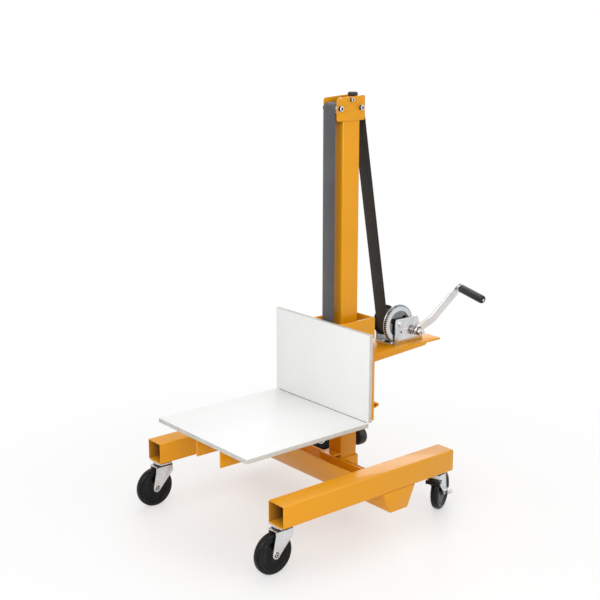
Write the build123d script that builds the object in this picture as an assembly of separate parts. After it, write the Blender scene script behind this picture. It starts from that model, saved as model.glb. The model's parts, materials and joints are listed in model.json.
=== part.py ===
from build123d import *
import os
from math import asin, atan2, cos, hypot, pi, radians, sin, tan

# A hand-winch stacker: legs on casters, a mast, a lifting carriage with a white shelf, and a strap winch.
# Millimetres, Z up, front towards -Y. Shapes are drawn with y = 0 on the mast and moved to the box's middle.

# Base
leg_size = 60
leg_wall = 3
leg_outer_x = 302
leg_front_y = -458
leg_rear_y = 136
leg_bottom_z = 125
trough_wall = 4
trough_low_z = 67
trough_low_front_y = -99
trough_low_rear_y = -37
trough_slope = 0.46
trough_lip_z = 154
trough_rear_z = 113
foot_bar = dict(x0=-25, x1=236, y0=-64, plate=6, z1=133)
foot_ledge = dict(x1=25, plate=5)

# Mast and its head
mast_x = 25
mast_y = 30
mast_wall = 3
mast_top_z = 1080
socket_top_z = 116
socket_wall = 4
clamp_plate_top_z = 186
clamp_knob_z = 158
head_plate = 2.5
head_front_y = -54
head_rear_y = 45
head_low_z = 1064
head_top_front_z = 1123.5
head_top_rear_z = 1130
pulley_z = 1097
pulley_front_y = -43
pulley_rear_y = 30.5
pulley_r = 12.5
tie_y = -4
tie_z = 1119
bridge_z = 1119.5
bridge_plate = 4
knob_y = 25.5
top_z = 1137.5

# Strap
strap_width = 47
strap_thick = 2.5
strap_gap = 0.3
wrap_pitch = 3.0
wrap_turns = 4
wrap_outer_r = 33.5

# Carriage
side_inner_x = 50
side_plate = 5
arm_front_y = -465
arm_low_z = 210
arm_top_z = 265
upright_rear_y = -34
ring_low_z = 460
ring_top_z = 520
ring_rear_y = 64
back_front_y = -71
back_thick = 4
board_half = 196.5
board_thick = 12
board_top_z = 524
platform_front_y = -489
platform_top_z = 282
roller_r = 12.5
roller_clear = 0.3
low_roller_z = 240
high_roller_z = 490
lift_travel = 400

# Winch and its shelf
shelf_top_z = 416
shelf_half = 62
shelf_rear_y = 328
shelf_plate = 5
frame_half = 41
frame_plate = 3
frame_front_y = 162
frame_rear_y = 271
drum_y = 183
drum_z = 477
drum_core_r = 19
flange_left_r = 44
flange_right_r = 55
gear_module = 1.75
gear_teeth = 60
pinion_teeth = 10
mesh_slack = 0.25
mesh_angle = -25
gear_x0 = 28.5
gear_x1 = 34.5
shaft_r = 6
shaft_end_x = 77
ratchet_teeth = 12
ratchet_tip_r = 18
ratchet_root_r = 13.5
ratchet_plate = 5
ratchet_gap = 0.6
pawl_pin_r = 3
crank_length = 166
crank_angle = 46.3
crank_bar = 26
crank_lean = 11.4
arm_x = 52
arm_plate = 7
arm_step = 22
arm_bend_r = 47
nut_x = 61
grip_gap = 8
grip_length = 98
grip_r = 12
grip_pin_r = 5

# Casters
wheel_r = 55
wheel_width = 22
hub_r = 37
hub_half = 12.5
caster_trail = 26
caster_inset = 35
front_pivot_y = leg_front_y + 19
rear_pivot_y = leg_rear_y - 24
caster_plate = 4
race_z = 116
kingpin_r = 6
fork_half = 16
fork_reach = 27
axle_r = 5
front_swivel = 180
rear_swivel = 25
braked = ("rear_left", "rear_right")
brake_pin_t = -19
brake_pin_z = 97
brake_pin_r = 3
running_clear = 0.05

pinion_reach = gear_module * (gear_teeth + pinion_teeth) / 2 + mesh_slack
pinion_y = drum_y + pinion_reach * cos(radians(mesh_angle))
pinion_z = drum_z + pinion_reach * sin(radians(mesh_angle))
crank_end_y = pinion_y + crank_length * cos(radians(crank_angle))
crank_end_z = pinion_z + crank_length * sin(radians(crank_angle))
pivot_x = leg_outer_x - caster_inset
box_front_y = front_pivot_y - caster_trail - wheel_r
box_rear_y = crank_end_y + crank_bar / 2
box_mid_y = (box_front_y + box_rear_y) / 2


def block(x0, x1, y0, y1, z0, z1):
    return Pos((x0 + x1) / 2, (y0 + y1) / 2, (z0 + z1) / 2) * Box(x1 - x0, y1 - y0, z1 - z0)


def rod_x(x0, x1, y, z, r):
    return Pos((x0 + x1) / 2, y, z) * Rot(0, 90, 0) * Cylinder(r, x1 - x0)


def rod_y(y0, y1, x, z, r):
    return Pos(x, (y0 + y1) / 2, z) * Rot(90, 0, 0) * Cylinder(r, y1 - y0)


def rod_z(z0, z1, x, y, r):
    return Pos(x, y, (z0 + z1) / 2) * Cylinder(r, z1 - z0)


def hex_x(x0, x1, y, z, across):
    outline = Plane.YZ * Pos(y, z) * RegularPolygon(across / 2, 6, major_radius=False)
    return Pos(x0, 0, 0) * extrude(outline, x1 - x0)


def plate_x(points, x0, x1):
    outline = make_face(Polyline(*[(x0, y, z) for y, z in points], close=True))
    return extrude(outline, x1 - x0, dir=(1, 0, 0))


def square_tube(width, depth, wall, length):
    outer = RectangleRounded(width, depth, wall + 1)
    inner = RectangleRounded(width - 2 * wall, depth - 2 * wall, 1)
    return extrude(outer - inner, length)


def mirrored(shape):
    return mirror(shape, about=Plane.YZ)


def leg():
    tube = square_tube(leg_size, leg_size, leg_wall, leg_rear_y - leg_front_y)
    place = Pos(leg_outer_x - leg_size / 2, leg_rear_y, leg_bottom_z + leg_size / 2)
    return place * Rot(90, 0, 0) * tube


def trough_y(z, rear):
    rise = (z - trough_low_z) * trough_slope
    return trough_low_rear_y + rise if rear else trough_low_front_y - rise


def trough_section(rim_z, inset):
    low = trough_low_z + inset
    side = inset * 1.1
    return [(trough_y(rim_z, False) + side, rim_z), (trough_y(low, False) + side, low),
            (trough_y(low, True) - side, low), (trough_y(rim_z, True) - side, rim_z)]


def base_trough():
    inner_x = leg_outer_x - leg_size
    section = trough_section(leg_bottom_z, 0)
    shell = plate_x(section, -leg_outer_x, leg_outer_x)
    shell -= plate_x(trough_section(leg_bottom_z + 1, trough_wall), -leg_outer_x + trough_wall,
                     leg_outer_x - trough_wall)
    lip_front = trough_y(trough_lip_z, False)
    low_front = trough_y(leg_bottom_z, False)
    side = trough_wall * 1.1
    lip = plate_x([(low_front, leg_bottom_z), (lip_front, trough_lip_z), (lip_front + side, trough_lip_z),
                   (low_front + side, leg_bottom_z)], -inner_x, inner_x)
    low_rear = block(-inner_x, inner_x, trough_y(trough_rear_z, True) - 2 * trough_wall,
                     trough_y(leg_bottom_z, True) + 1, trough_rear_z, leg_bottom_z + 1)
    return shell + lip - low_rear - socket_block()


def socket_block():
    wide = mast_x + socket_wall
    deep = mast_y + socket_wall
    return block(-wide, wide, -deep, deep, trough_low_z - 1, socket_top_z + 20)


def mast_socket():
    wide = mast_x + socket_wall
    deep = mast_y + socket_wall
    sleeve = block(-wide, wide, -deep, deep, trough_low_z, socket_top_z)
    sleeve += block(-20, 20, mast_y, deep, socket_top_z, clamp_plate_top_z)
    sleeve -= block(-mast_x, mast_x, -mast_y, mast_y, trough_low_z + socket_wall, clamp_plate_top_z)
    return sleeve - rod_y(mast_y - 1, deep + 1, 0, clamp_knob_z, 6.05)


def mast():
    low = trough_low_z + socket_wall
    tube = Pos(0, 0, low) * square_tube(2 * mast_x, 2 * mast_y, mast_wall, mast_top_z - low)
    return tube - rod_y(0, mast_y + 1, 0, clamp_knob_z, 6.05)


def clamp_knob():
    seat = mast_y + socket_wall + 0.4
    stud = rod_y(mast_y - 12, seat + 10, 0, clamp_knob_z, 6)
    neck = rod_y(seat, seat + 12, 0, clamp_knob_z, 12)
    head = rod_y(seat + 12, seat + 41, 0, clamp_knob_z, 27)
    return stud + neck + fillet(head.edges().filter_by(GeomType.CIRCLE), 7)


def foot_stiffener():
    # A plate standing in the trough, with a ledge from its top back to the mast foot
    b = foot_bar
    ledge = foot_ledge
    rear = b["y0"] + b["plate"]
    plate = block(b["x0"], b["x1"], b["y0"], rear, trough_low_z + trough_wall, b["z1"])
    return plate + block(b["x0"], ledge["x1"], rear, -mast_y, b["z1"] - ledge["plate"], b["z1"])


def head_side():
    # The top edge rises towards the rear
    plate = plate_x([(head_front_y, head_low_z), (head_rear_y, head_low_z), (head_rear_y, head_top_rear_z),
                     (head_front_y, head_top_front_z)], mast_x, mast_x + head_plate)
    plate = fillet(plate.edges().filter_by(Axis.X), 6)
    for y, z, r in [(pulley_front_y, pulley_z, 4), (pulley_rear_y, pulley_z, 4), (tie_y, tie_z, 3)]:
        plate -= rod_x(mast_x - 1, mast_x + head_plate + 1, y, z, r)
    return plate


def head_bolts():
    out = mast_x + head_plate
    bolts = []
    for y, z, r in [(pulley_front_y, pulley_z, 4), (pulley_rear_y, pulley_z, 4), (tie_y, tie_z, 3)]:
        ends = rod_x(out, out + 1.2, y, z, 2 * r) + hex_x(out + 1.2, out + 8, y, z, 3.2 * r)
        bolts.append(rod_x(-out, out, y, z, r) + ends + mirrored(ends))
    return bolts


def head_bridge():
    top = bridge_z + bridge_plate
    bar = block(-mast_x, mast_x, knob_y - 14, knob_y + 14, bridge_z, top)
    return bar - rod_z(bridge_z - 1, top + 1, 0, knob_y, 3 + running_clear)


def head_knob():
    seat = bridge_z + bridge_plate + 0.4
    stem = rod_z(bridge_z + 0.2, seat + 3, 0, knob_y, 3) + rod_z(seat, seat + 3, 0, knob_y, 6)
    cap = rod_z(seat + 2, top_z, 0, knob_y, 13.5)
    return stem + fillet(cap.edges().filter_by(GeomType.CIRCLE), 3.5)


def pulley(y):
    half = mast_x - 0.6
    tube = rod_x(-half, half, y, pulley_z, pulley_r)
    return tube - rod_x(-half, half, y, pulley_z, 4 + running_clear)


def strap_lines():
    # Centre line of the strap: where it leaves the rear pulley and where it meets the winding
    ride_r = pulley_r + strap_gap + strap_thick / 2
    dy = drum_y - pulley_rear_y
    dz = drum_z - pulley_z
    turn = asin((ride_r + wrap_outer_r) / hypot(dy, dz))
    slope = atan2(dz, dy) - turn
    left = (-sin(slope), cos(slope))
    leave = (pulley_rear_y + ride_r * left[0], pulley_z + ride_r * left[1])
    meet = (drum_y - wrap_outer_r * left[0], drum_z - wrap_outer_r * left[1])
    return ride_r, left, leave, meet


def band(path, start, along):
    cut = Plane(origin=start, x_dir=(1, 0, 0), z_dir=along)
    return sweep(cut * Rectangle(strap_width, strap_thick), path=path)


def strap_front():
    front = pulley_front_y - strap_lines()[0]
    half = strap_width / 2
    return block(-half, half, front - strap_thick / 2, front + strap_thick / 2, clamp_low_z() + 4, pulley_z)


def clamp_low_z():
    return ring_low_z + 14


def strap_back():
    ride_r, left, leave, meet = strap_lines()
    diag = ride_r * cos(pi / 4)
    mid_turn = (atan2(left[1], left[0]) + pi / 2) / 2
    over = (pulley_rear_y + ride_r * cos(mid_turn), pulley_z + ride_r * sin(mid_turn))
    start = (0, pulley_front_y - ride_r, pulley_z)
    crest_front = (0, pulley_front_y, pulley_z + ride_r)
    crest_rear = (0, pulley_rear_y, pulley_z + ride_r)
    path = ThreePointArc(start, (0, pulley_front_y - diag, pulley_z + diag), crest_front)
    path += Line(crest_front, crest_rear)
    path += ThreePointArc(crest_rear, (0, *over), (0, *leave))
    path += Line((0, *leave), (0, *meet))
    return band(path, start, (0, 0, 1))


def wrap_arcs():
    # Half turns, each half a pitch smaller, about two centres in turn
    left = strap_lines()[1]
    out = (-left[0], -left[1])
    centre = (drum_y, drum_z)
    arcs = []
    for step in range(2 * wrap_turns):
        r = wrap_outer_r - step * wrap_pitch / 2
        side = 1 if step % 2 == 0 else -1
        arcs.append((centre, r, (side * out[0], side * out[1])))
        centre = (centre[0] - side * out[0] * wrap_pitch / 2, centre[1] - side * out[1] * wrap_pitch / 2)
    return arcs


def strap_winding():
    arcs = wrap_arcs()
    path = None
    for (y, z), r, (oy, oz) in arcs:
        begin = (0, y + r * oy, z + r * oz)
        middle = (0, y - r * oz, z + r * oy)
        end = (0, y - r * oy, z - r * oz)
        arc = ThreePointArc(begin, middle, end)
        path = arc if path is None else path + arc
    (y, z), r, (oy, oz) = arcs[0]
    return band(path, (0, y + r * oy, z + r * oz), (0, -oz, oy))


def winding_gap():
    points = []
    for (y, z), r, (oy, oz) in wrap_arcs():
        for k in range(24):
            a = atan2(oz, oy) + pi * k / 24
            points.append((y + r * cos(a), z + r * sin(a)))
    least = min(hypot(p[0] - q[0], p[1] - q[1]) for i, p in enumerate(points) for q in points[i + 30:])
    return least - strap_thick


def roller_y(front):
    return (-1 if front else 1) * (mast_y + roller_r + roller_clear)


def carriage_side():
    back = back_front_y + back_thick
    outline = [(arm_front_y, arm_low_z), (upright_rear_y, arm_low_z), (upright_rear_y, ring_low_z),
               (ring_rear_y, ring_low_z), (ring_rear_y, ring_top_z), (back, ring_top_z), (back, arm_top_z),
               (arm_front_y, arm_top_z)]
    plate = plate_x(outline, side_inner_x, side_inner_x + side_plate)
    for y, z in [(roller_y(True), low_roller_z), (roller_y(False), high_roller_z)]:
        plate -= rod_x(side_inner_x - 1, side_inner_x + side_plate + 1, y, z, 5)
    return plate


def ring_plates():
    half = side_inner_x + side_plate
    front = block(-half, half, back_front_y, back_front_y + back_thick, ring_low_z, ring_top_z)
    rear = block(-half, half, ring_rear_y, ring_rear_y + back_thick, ring_low_z, ring_top_z)
    return [front, rear]


def back_plate():
    return block(-board_half - 3, board_half + 3, back_front_y, back_front_y + back_thick,
                 platform_top_z + 6, ring_low_z)


def back_stiffener():
    # A folded channel, open towards the plate, with flanges that slope to a narrow nose
    rear = back_front_y + back_thick
    deep, sheet, mid = 20, 2.5, 328
    floor = rear + deep - sheet
    outer = [(rear, mid - 9), (rear + deep, mid - 4), (rear + deep, mid + 4), (rear, mid + 9)]
    inner = [(rear, mid - 6), (floor, mid - 2), (floor, mid + 2), (rear, mid + 6)]
    x0 = side_inner_x + side_plate
    return plate_x(outer, x0, board_half) - plate_x(inner, x0, board_half)


def cross_ties():
    ties = []
    for y in (platform_front_y + 90, platform_front_y + 310):
        ties.append(block(-150, 150, y - 20, y + 20, arm_top_z, platform_top_z - board_thick))
    return ties


def platform():
    board = block(-board_half, board_half, platform_front_y, back_front_y - board_thick,
                  platform_top_z - board_thick, platform_top_z)
    return chamfer(board.edges(), 0.8)


def backboard():
    board = block(-board_half, board_half, back_front_y - board_thick, back_front_y,
                  platform_top_z, board_top_z)
    return chamfer(board.edges(), 0.8)


def board_screws():
    rear = back_front_y + back_thick
    screws = []
    for x in (-160, 160):
        for z in (platform_top_z + 18, ring_low_z - 18):
            head = rod_y(rear, rear + 3, x, z, 5)
            screws.append(fillet(head.edges().group_by(Axis.Y)[-1], 1.2))
    for x in (-125, 125):
        for y in (platform_front_y + 90, platform_front_y + 310):
            head = rod_z(arm_top_z - 3, arm_top_z, x, y, 5)
            screws.append(fillet(head.edges().group_by(Axis.Z)[0], 1.2))
    return screws


def strap_clamp():
    # Two bars hold the end of the strap, bolted to the ring's front plate
    front = pulley_front_y - strap_lines()[0]
    near = front + strap_thick / 2 + 0.3
    far = front - strap_thick / 2 - 0.3
    low = clamp_low_z()
    bars = block(-34, 34, back_front_y + back_thick, far, low, low + 24)
    bars += block(-34, 34, near, near + 5, low, low + 24)
    for x in (-28.5, 28.5):
        bars += block(x - 4, x + 4, far, near, low + 8, low + 16)
        bars += rod_y(near + 5, near + 9, x, low + 12, 5)
    return bars


def carriage_axles():
    # The low axle carries nuts outside, the high one ends flush in the ring
    out = side_inner_x + side_plate
    axles = []
    for y, z, nuts in [(roller_y(True), low_roller_z, True), (roller_y(False), high_roller_z, False)]:
        ends = rod_x(28, side_inner_x, y, z, 8)
        if nuts:
            ends += hex_x(out, out + 4, y, z, 15)
        axles.append(rod_x(-out, out, y, z, 5) + ends + mirrored(ends))
    return axles


def guide_roller(front):
    y = roller_y(front)
    z = low_roller_z if front else high_roller_z
    tube = rod_x(-27.4, 27.4, y, z, roller_r)
    return tube - rod_x(-27.4, 27.4, y, z, 5 + running_clear)


def carriage_stop():
    return block(-side_inner_x - side_plate, side_inner_x + side_plate, -mast_y - 20, -mast_y,
                 arm_low_z - 14, arm_low_z - 0.4)


def winch_shelf():
    low = shelf_top_z - shelf_plate
    top = block(-shelf_half, shelf_half, mast_y, shelf_rear_y, low, shelf_top_z)
    top = fillet(top.edges().filter_by(Axis.Z).group_by(Axis.Y)[-1], 5)
    flange = plate_x([(mast_y, low), (mast_y, low - 20), (frame_rear_y - 8, low - 6), (frame_rear_y, low)],
                     shelf_half - 4, shelf_half)
    foot = block(-shelf_half + 4, shelf_half - 4, mast_y, mast_y + 5, low - 32, low)
    return top + flange + mirrored(flange) + foot


def winch_frame():
    low = shelf_top_z
    side = plate_x([(frame_front_y, low), (frame_rear_y, low), (frame_rear_y, low + 18),
                    (frame_rear_y - 20, low + 76), (frame_front_y + 5, low + 77), (frame_front_y, low + 70)],
                   frame_half - frame_plate, frame_half)
    frame = block(-frame_half, frame_half, frame_front_y, frame_rear_y, low, low + frame_plate)
    frame += side + mirrored(side)
    span = frame_half + 1
    frame -= rod_x(-span, span, drum_y, drum_z, 6)
    frame -= rod_x(-span, span, pinion_y, pinion_z, 6 + running_clear)
    return frame - rod_x(-span, span, drum_y + 2.5, low + 37, 3)


def winch_bolts():
    bolts = []
    for x in (-18, 18):
        for y in (frame_front_y + 9, frame_rear_y - 12):
            top = shelf_top_z + frame_plate
            head = Pos(x, y, top) * extrude(RegularPolygon(5, 6, major_radius=False), 3)
            bolts.append(head)
    return bolts


def drum_axle():
    out = frame_half
    head = hex_x(out, out + 4.5, drum_y, drum_z, 17)
    return rod_x(-out, out, drum_y, drum_z, 6) + head + mirrored(head)


def drum():
    half = strap_width / 2 + 1.6
    body = rod_x(-half, gear_x0, drum_y, drum_z, drum_core_r)
    body += rod_x(-half - 2.5, -half, drum_y, drum_z, flange_left_r)
    body += rod_x(half, half + 2, drum_y, drum_z, flange_right_r)
    return body - rod_x(-half - 3, gear_x0, drum_y, drum_z, 6 + running_clear)


def toothed_disc(y, z, teeth, phase, width_share, x0, x1):
    # Straight-flanked teeth about the axis, one tooth centred on the phase angle
    pitch_r = gear_module * teeth / 2
    tip_r = pitch_r + 0.9 * gear_module
    root_r = pitch_r - 1.15 * gear_module
    step = 2 * pi / teeth
    tip_half = 0.28 * width_share * step
    root_half = 0.74 * width_share * step
    points = []
    for k in range(teeth):
        a = phase + k * step
        for r, offset in [(root_r, -root_half), (tip_r, -tip_half), (tip_r, tip_half), (root_r, root_half)]:
            points.append((y + r * cos(a + offset), z + r * sin(a + offset)))
    return plate_x(points, x0, x1)


def drum_gear():
    gear = toothed_disc(drum_y, drum_z, gear_teeth, radians(mesh_angle), 0.46, gear_x0, gear_x1)
    gear -= rod_x(gear_x0, gear_x1, drum_y, drum_z, 6 + running_clear)
    floor = gear_x1 - 2.5
    gear -= rod_x(floor, gear_x1, drum_y, drum_z, 38) - rod_x(floor, gear_x1, drum_y, drum_z, 13)
    for k in range(3):
        a = radians(mesh_angle + 60 + 120 * k)
        gear -= rod_x(gear_x0, gear_x1, drum_y + 26 * cos(a), drum_z + 26 * sin(a), 8)
    return gear


def pinion_shaft():
    half_step = pi / pinion_teeth
    facing = radians(mesh_angle + 180) + half_step
    inner = frame_half - frame_plate - 0.5
    teeth = toothed_disc(pinion_y, pinion_z, pinion_teeth, facing, 0.40, gear_x0 - 0.5, inner)
    return rod_x(-frame_half - 5, shaft_end_x, pinion_y, pinion_z, shaft_r) + teeth


def ratchet_outline(tip_r, root_r):
    # Each tooth rises to its tip and drops straight back, facing the pawl's end
    points = []
    for k in range(ratchet_teeth):
        a = 2 * pi * k / ratchet_teeth
        for r in (tip_r, root_r):
            points.append((pinion_y + r * cos(a), pinion_z + r * sin(a)))
    return points


def ratchet_wheel():
    x0 = -frame_half + frame_plate + ratchet_gap
    wheel = plate_x(ratchet_outline(ratchet_tip_r, ratchet_root_r), x0, x0 + ratchet_plate)
    return wheel - rod_x(x0 - 1, 0, pinion_y, pinion_z, shaft_r)


def pawl_place():
    return pinion_y - 8, pinion_z + 28


def pawl():
    y, z = pawl_place()
    x0 = -frame_half + frame_plate + ratchet_gap
    x1 = x0 + ratchet_plate
    finger = [(-4, 4), (17, 3), (19.8, 0), (19.8, -5.9), (15, -4.9), (12, -4.2), (0, -5)]
    thumb = [(-4, -5), (-18, 6), (-16, 11), (0, 5)]
    body = rod_x(x0, x1, y, z, 6.5)
    for outline in (finger, thumb):
        body += plate_x([(y + dy, z + dz) for dy, dz in outline], x0, x1)
    return body - rod_x(x0, x1, y, z, pawl_pin_r + running_clear)


def pawl_mount():
    y, z = pawl_place()
    inner = -frame_half + frame_plate
    end = inner + ratchet_gap + ratchet_plate + 0.6
    pin = rod_x(inner, end, y, z, pawl_pin_r) + rod_x(end, end + 1.8, y, z, 5)
    leaf = block(inner, inner + ratchet_plate, y + 5, y + 19, z + 5.4, z + 6.2)
    return [pin, leaf]


def on_shaft(x0, x1, r):
    return rod_x(x0, x1, pinion_y, pinion_z, r) - rod_x(x0, x1, pinion_y, pinion_z, shaft_r)


def crank_collar():
    return on_shaft(frame_half + 0.4, arm_x - 4, 11)


def friction_washers():
    return [on_shaft(arm_x - 4, arm_x, 13), on_shaft(arm_x + arm_plate, nut_x, 12)]


def crank_nut():
    nut = hex_x(nut_x, nut_x + 10, pinion_y, pinion_z, 19)
    return nut - rod_x(nut_x, nut_x + 10, pinion_y, pinion_z, shaft_r)


def crank_turned(shape):
    return Pos(0, pinion_y, pinion_z) * Rot(crank_angle, 0, 0) * shape


def arm_offset(r):
    # How far the arm's inner face stands out from the hub's plane, past the bend
    return arm_x + arm_step + (r - arm_bend_r) * tan(radians(crank_lean))


def crank_arm():
    # Side profile of one flat bar: out past the shelf's edge, then leaning away up to the grip
    half = crank_bar / 2
    end = crank_length + half
    bend = arm_bend_r - 2
    inner = [(arm_x, -half), (arm_x, 15), (arm_offset(arm_bend_r), arm_bend_r), (arm_offset(end), end)]
    outer = [(arm_offset(end), end), (arm_offset(bend), bend), (arm_x, 13), (arm_x, -half)]
    side = inner + [(x + arm_plate, r) for x, r in outer]
    profile = make_face(Polyline(*[(x, r, -half) for x, r in side], close=True))
    bar = extrude(profile, crank_bar, dir=(0, 0, 1))
    ends = bar.edges().filter_by(Axis.X).group_by(Axis.Y)
    bar = fillet(ends[0] + ends[-1], half - 0.4)
    bar -= rod_x(arm_x - 1, arm_x + arm_plate + 1, 0, 0, shaft_r)
    bar -= on_grip(rod_x(-2 * arm_plate, arm_plate, 0, 0, grip_pin_r))
    return crank_turned(bar)


def on_grip(shape):
    # From the grip's own axis, with x = 0 on the arm's outer face, to the crank lying along Y
    face_x = arm_offset(crank_length) + arm_plate
    return Pos(face_x, crank_length, 0) * Rot(0, 0, -crank_lean) * shape


def grip_pin():
    inner = -arm_plate * cos(radians(crank_lean))
    grip_end = grip_gap + grip_length
    pin = rod_x(inner, grip_end + 1, 0, 0, grip_pin_r) + hex_x(inner - 5.5, inner, 0, 0, 15)
    pin += rod_x(0, grip_gap, 0, 0, 8) + rod_x(grip_end + 0.6, grip_end + 3, 0, 0, 7)
    return crank_turned(on_grip(pin))


def grip():
    body = rod_x(grip_gap + 0.4, grip_gap + grip_length + 0.2, 0, 0, grip_r)
    body = fillet(body.edges().filter_by(GeomType.CIRCLE), 2.5)
    bore = rod_x(grip_gap, grip_gap + grip_length + 1, 0, 0, grip_pin_r + running_clear)
    return crank_turned(on_grip(body - bore))


def pivots():
    places = {}
    for end, y, turn in [("front", front_pivot_y, front_swivel), ("rear", rear_pivot_y, rear_swivel)]:
        places[end + "_left"] = (-pivot_x, y, -turn)
        places[end + "_right"] = (pivot_x, y, turn)
    return places


def caster_plates():
    low = leg_bottom_z - caster_plate
    plates = []
    for x, y, _ in pivots().values():
        plate = block(-25, 25, -19, 19, low, leg_bottom_z)
        plate += rod_z(race_z, low, 0, 0, 23)
        plate += rod_z(race_z - 6.3, race_z, 0, 0, kingpin_r) + rod_z(race_z - 6.3, race_z - 4.3, 0, 0, 9)
        plates.append(Pos(x, y, 0) * plate)
    return plates


def placed(name, shape):
    x, y, turn = pivots()[name]
    return Pos(x, y, 0) * Rot(0, 0, turn) * shape


def axle_end(nut):
    # A spacer, a nut and the stud's end, or a flat rivet head
    out = fork_half
    t, z = caster_trail, wheel_r
    if nut:
        return (rod_x(out, out + 5, t, z, 8) + hex_x(out + 5, out + 15, t, z, 17)
                + rod_x(out + 15, out + 20, t, z, axle_r))
    return rod_x(out, out + 1.4, t, z, 7.5) + rod_x(out + 1.4, out + 3, t, z, 4.6)


def caster_fork(name):
    t = caster_trail
    top = race_z - 0.4
    out = fork_half
    far = fork_reach
    cheek = [(-far, top), (far, top), (t + 12, 60), (t + 9, 46), (t - 9, 46), (t - 12, 51), (-far, 92)]
    side = plate_x(cheek, out - 3, out)
    if name in braked:
        side += rod_x(out, out + 4, brake_pin_t, brake_pin_z, brake_pin_r)
    fork = block(-out, out, -far, far, top - 3.6, top) + side + mirrored(side)
    fork -= rod_z(top - 5, top + 1, 0, 0, kingpin_r + running_clear)
    fork -= rod_x(-out - 1, out + 1, t, wheel_r, axle_r)
    # The braked casters carry their nut on the outer side only
    axle = rod_x(-out, out, t, wheel_r, axle_r) + axle_end(name == "rear_right")
    axle += mirrored(axle_end(name == "rear_left"))
    return [placed(name, fork), placed(name, axle)]


def caster_wheel(name):
    t = caster_trail
    half = wheel_width / 2
    tyre = rod_x(-half, half, t, wheel_r, wheel_r)
    tyre = fillet(tyre.edges().filter_by(GeomType.CIRCLE), 7) - rod_x(-half, half, t, wheel_r, hub_r)
    hub = rod_x(-9, 9, t, wheel_r, hub_r) + rod_x(-hub_half, hub_half, t, wheel_r, 13)
    hub -= rod_x(-hub_half, hub_half, t, wheel_r, axle_r + running_clear)
    return [placed(name, tyre), placed(name, hub)]


def brake_bar(name):
    # Two arms on the fork's pins carry a foot bar, and a shoe between the cheeks that moves to the tread
    inner = fork_half + 0.5
    outer = inner + 2.5
    bar = block(-outer - 1, outer + 1, -39, -29, 92, 102)
    shoe = plate_x([(-29, 92), (-29, 98), (-24, 93), (-22.5, 86), (-26, 85)], -11, 11)
    arm = plate_x([(-14, 92), (-13, 101), (-29, 102), (-39, 102), (-39, 92), (-29, 92)], inner, outer)
    arm -= rod_x(inner, outer, brake_pin_t, brake_pin_z, brake_pin_r + running_clear)
    return placed(name, bar + shoe + arm + mirrored(arm))


nodes = dict(
    leg_right=leg(), leg_left=mirrored(leg()), base_trough=base_trough(), foot_bar=foot_stiffener(),
    mast=mast(), mast_socket=mast_socket(), mast_clamp_knob=clamp_knob(), carriage_stop=carriage_stop(),
    head_side_right=head_side(), head_side_left=mirrored(head_side()), head_bolts=head_bolts(),
    head_bridge=head_bridge(), head_knob=head_knob(), head_roller_front=pulley(pulley_front_y),
    head_roller_rear=pulley(pulley_rear_y), strap_front=strap_front(), strap_back=strap_back(),
    strap_winding=strap_winding(), strap_clamp=strap_clamp(), carriage_side_right=carriage_side(),
    carriage_side_left=mirrored(carriage_side()), ring_plates=ring_plates(), back_plate=back_plate(),
    back_stiffeners=[back_stiffener(), mirrored(back_stiffener())], cross_ties=cross_ties(),
    platform=platform(), backboard=backboard(), board_screws=board_screws(), carriage_axles=carriage_axles(),
    guide_roller_low=guide_roller(True), guide_roller_high=guide_roller(False), winch_shelf=winch_shelf(),
    winch_frame=winch_frame(), winch_bolts=winch_bolts(), drum_axle=drum_axle(), drum=drum(),
    drum_gear=drum_gear(), pinion_shaft=pinion_shaft(), ratchet_wheel=ratchet_wheel(), pawl=pawl(),
    pawl_mount=pawl_mount(), crank_collar=crank_collar(), friction_washers=friction_washers(),
    crank_nut=crank_nut(), crank_arm=crank_arm(), grip_pin=grip_pin(), grip=grip(),
    caster_plates=caster_plates())
for corner in pivots():
    nodes["caster_fork_" + corner] = caster_fork(corner)
    nodes["caster_wheel_" + corner] = caster_wheel(corner)
for corner in braked:
    nodes["brake_bar_" + corner] = brake_bar(corner)

to_middle = Pos(0, -box_mid_y, 0)
os.makedirs("parts", exist_ok=True)
for name, shape in nodes.items():
    pieces = shape if isinstance(shape, list) else [shape]
    moved = [to_middle * piece for piece in pieces]
    export_step(moved[0] if len(moved) == 1 else Compound(children=moved), f"parts/{name}.step")

print("nodes", len(nodes), "middle of the box at y", round(box_mid_y, 3))
print("least gap in the winding", round(winding_gap(), 3))
print("pinion at", round(pinion_y - box_mid_y, 3), round(pinion_z, 3))
print("grip starts at", round(arm_offset(crank_length) + arm_plate, 3), round(crank_end_y - box_mid_y, 3),
      round(crank_end_z, 3))
front_run = pulley_z - clamp_low_z()
print("front run of the strap", front_run, "and at the top of the lift", front_run - lift_travel)
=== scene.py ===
import bmesh
import bpy
import json
import math
from mathutils import Matrix, Vector


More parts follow.
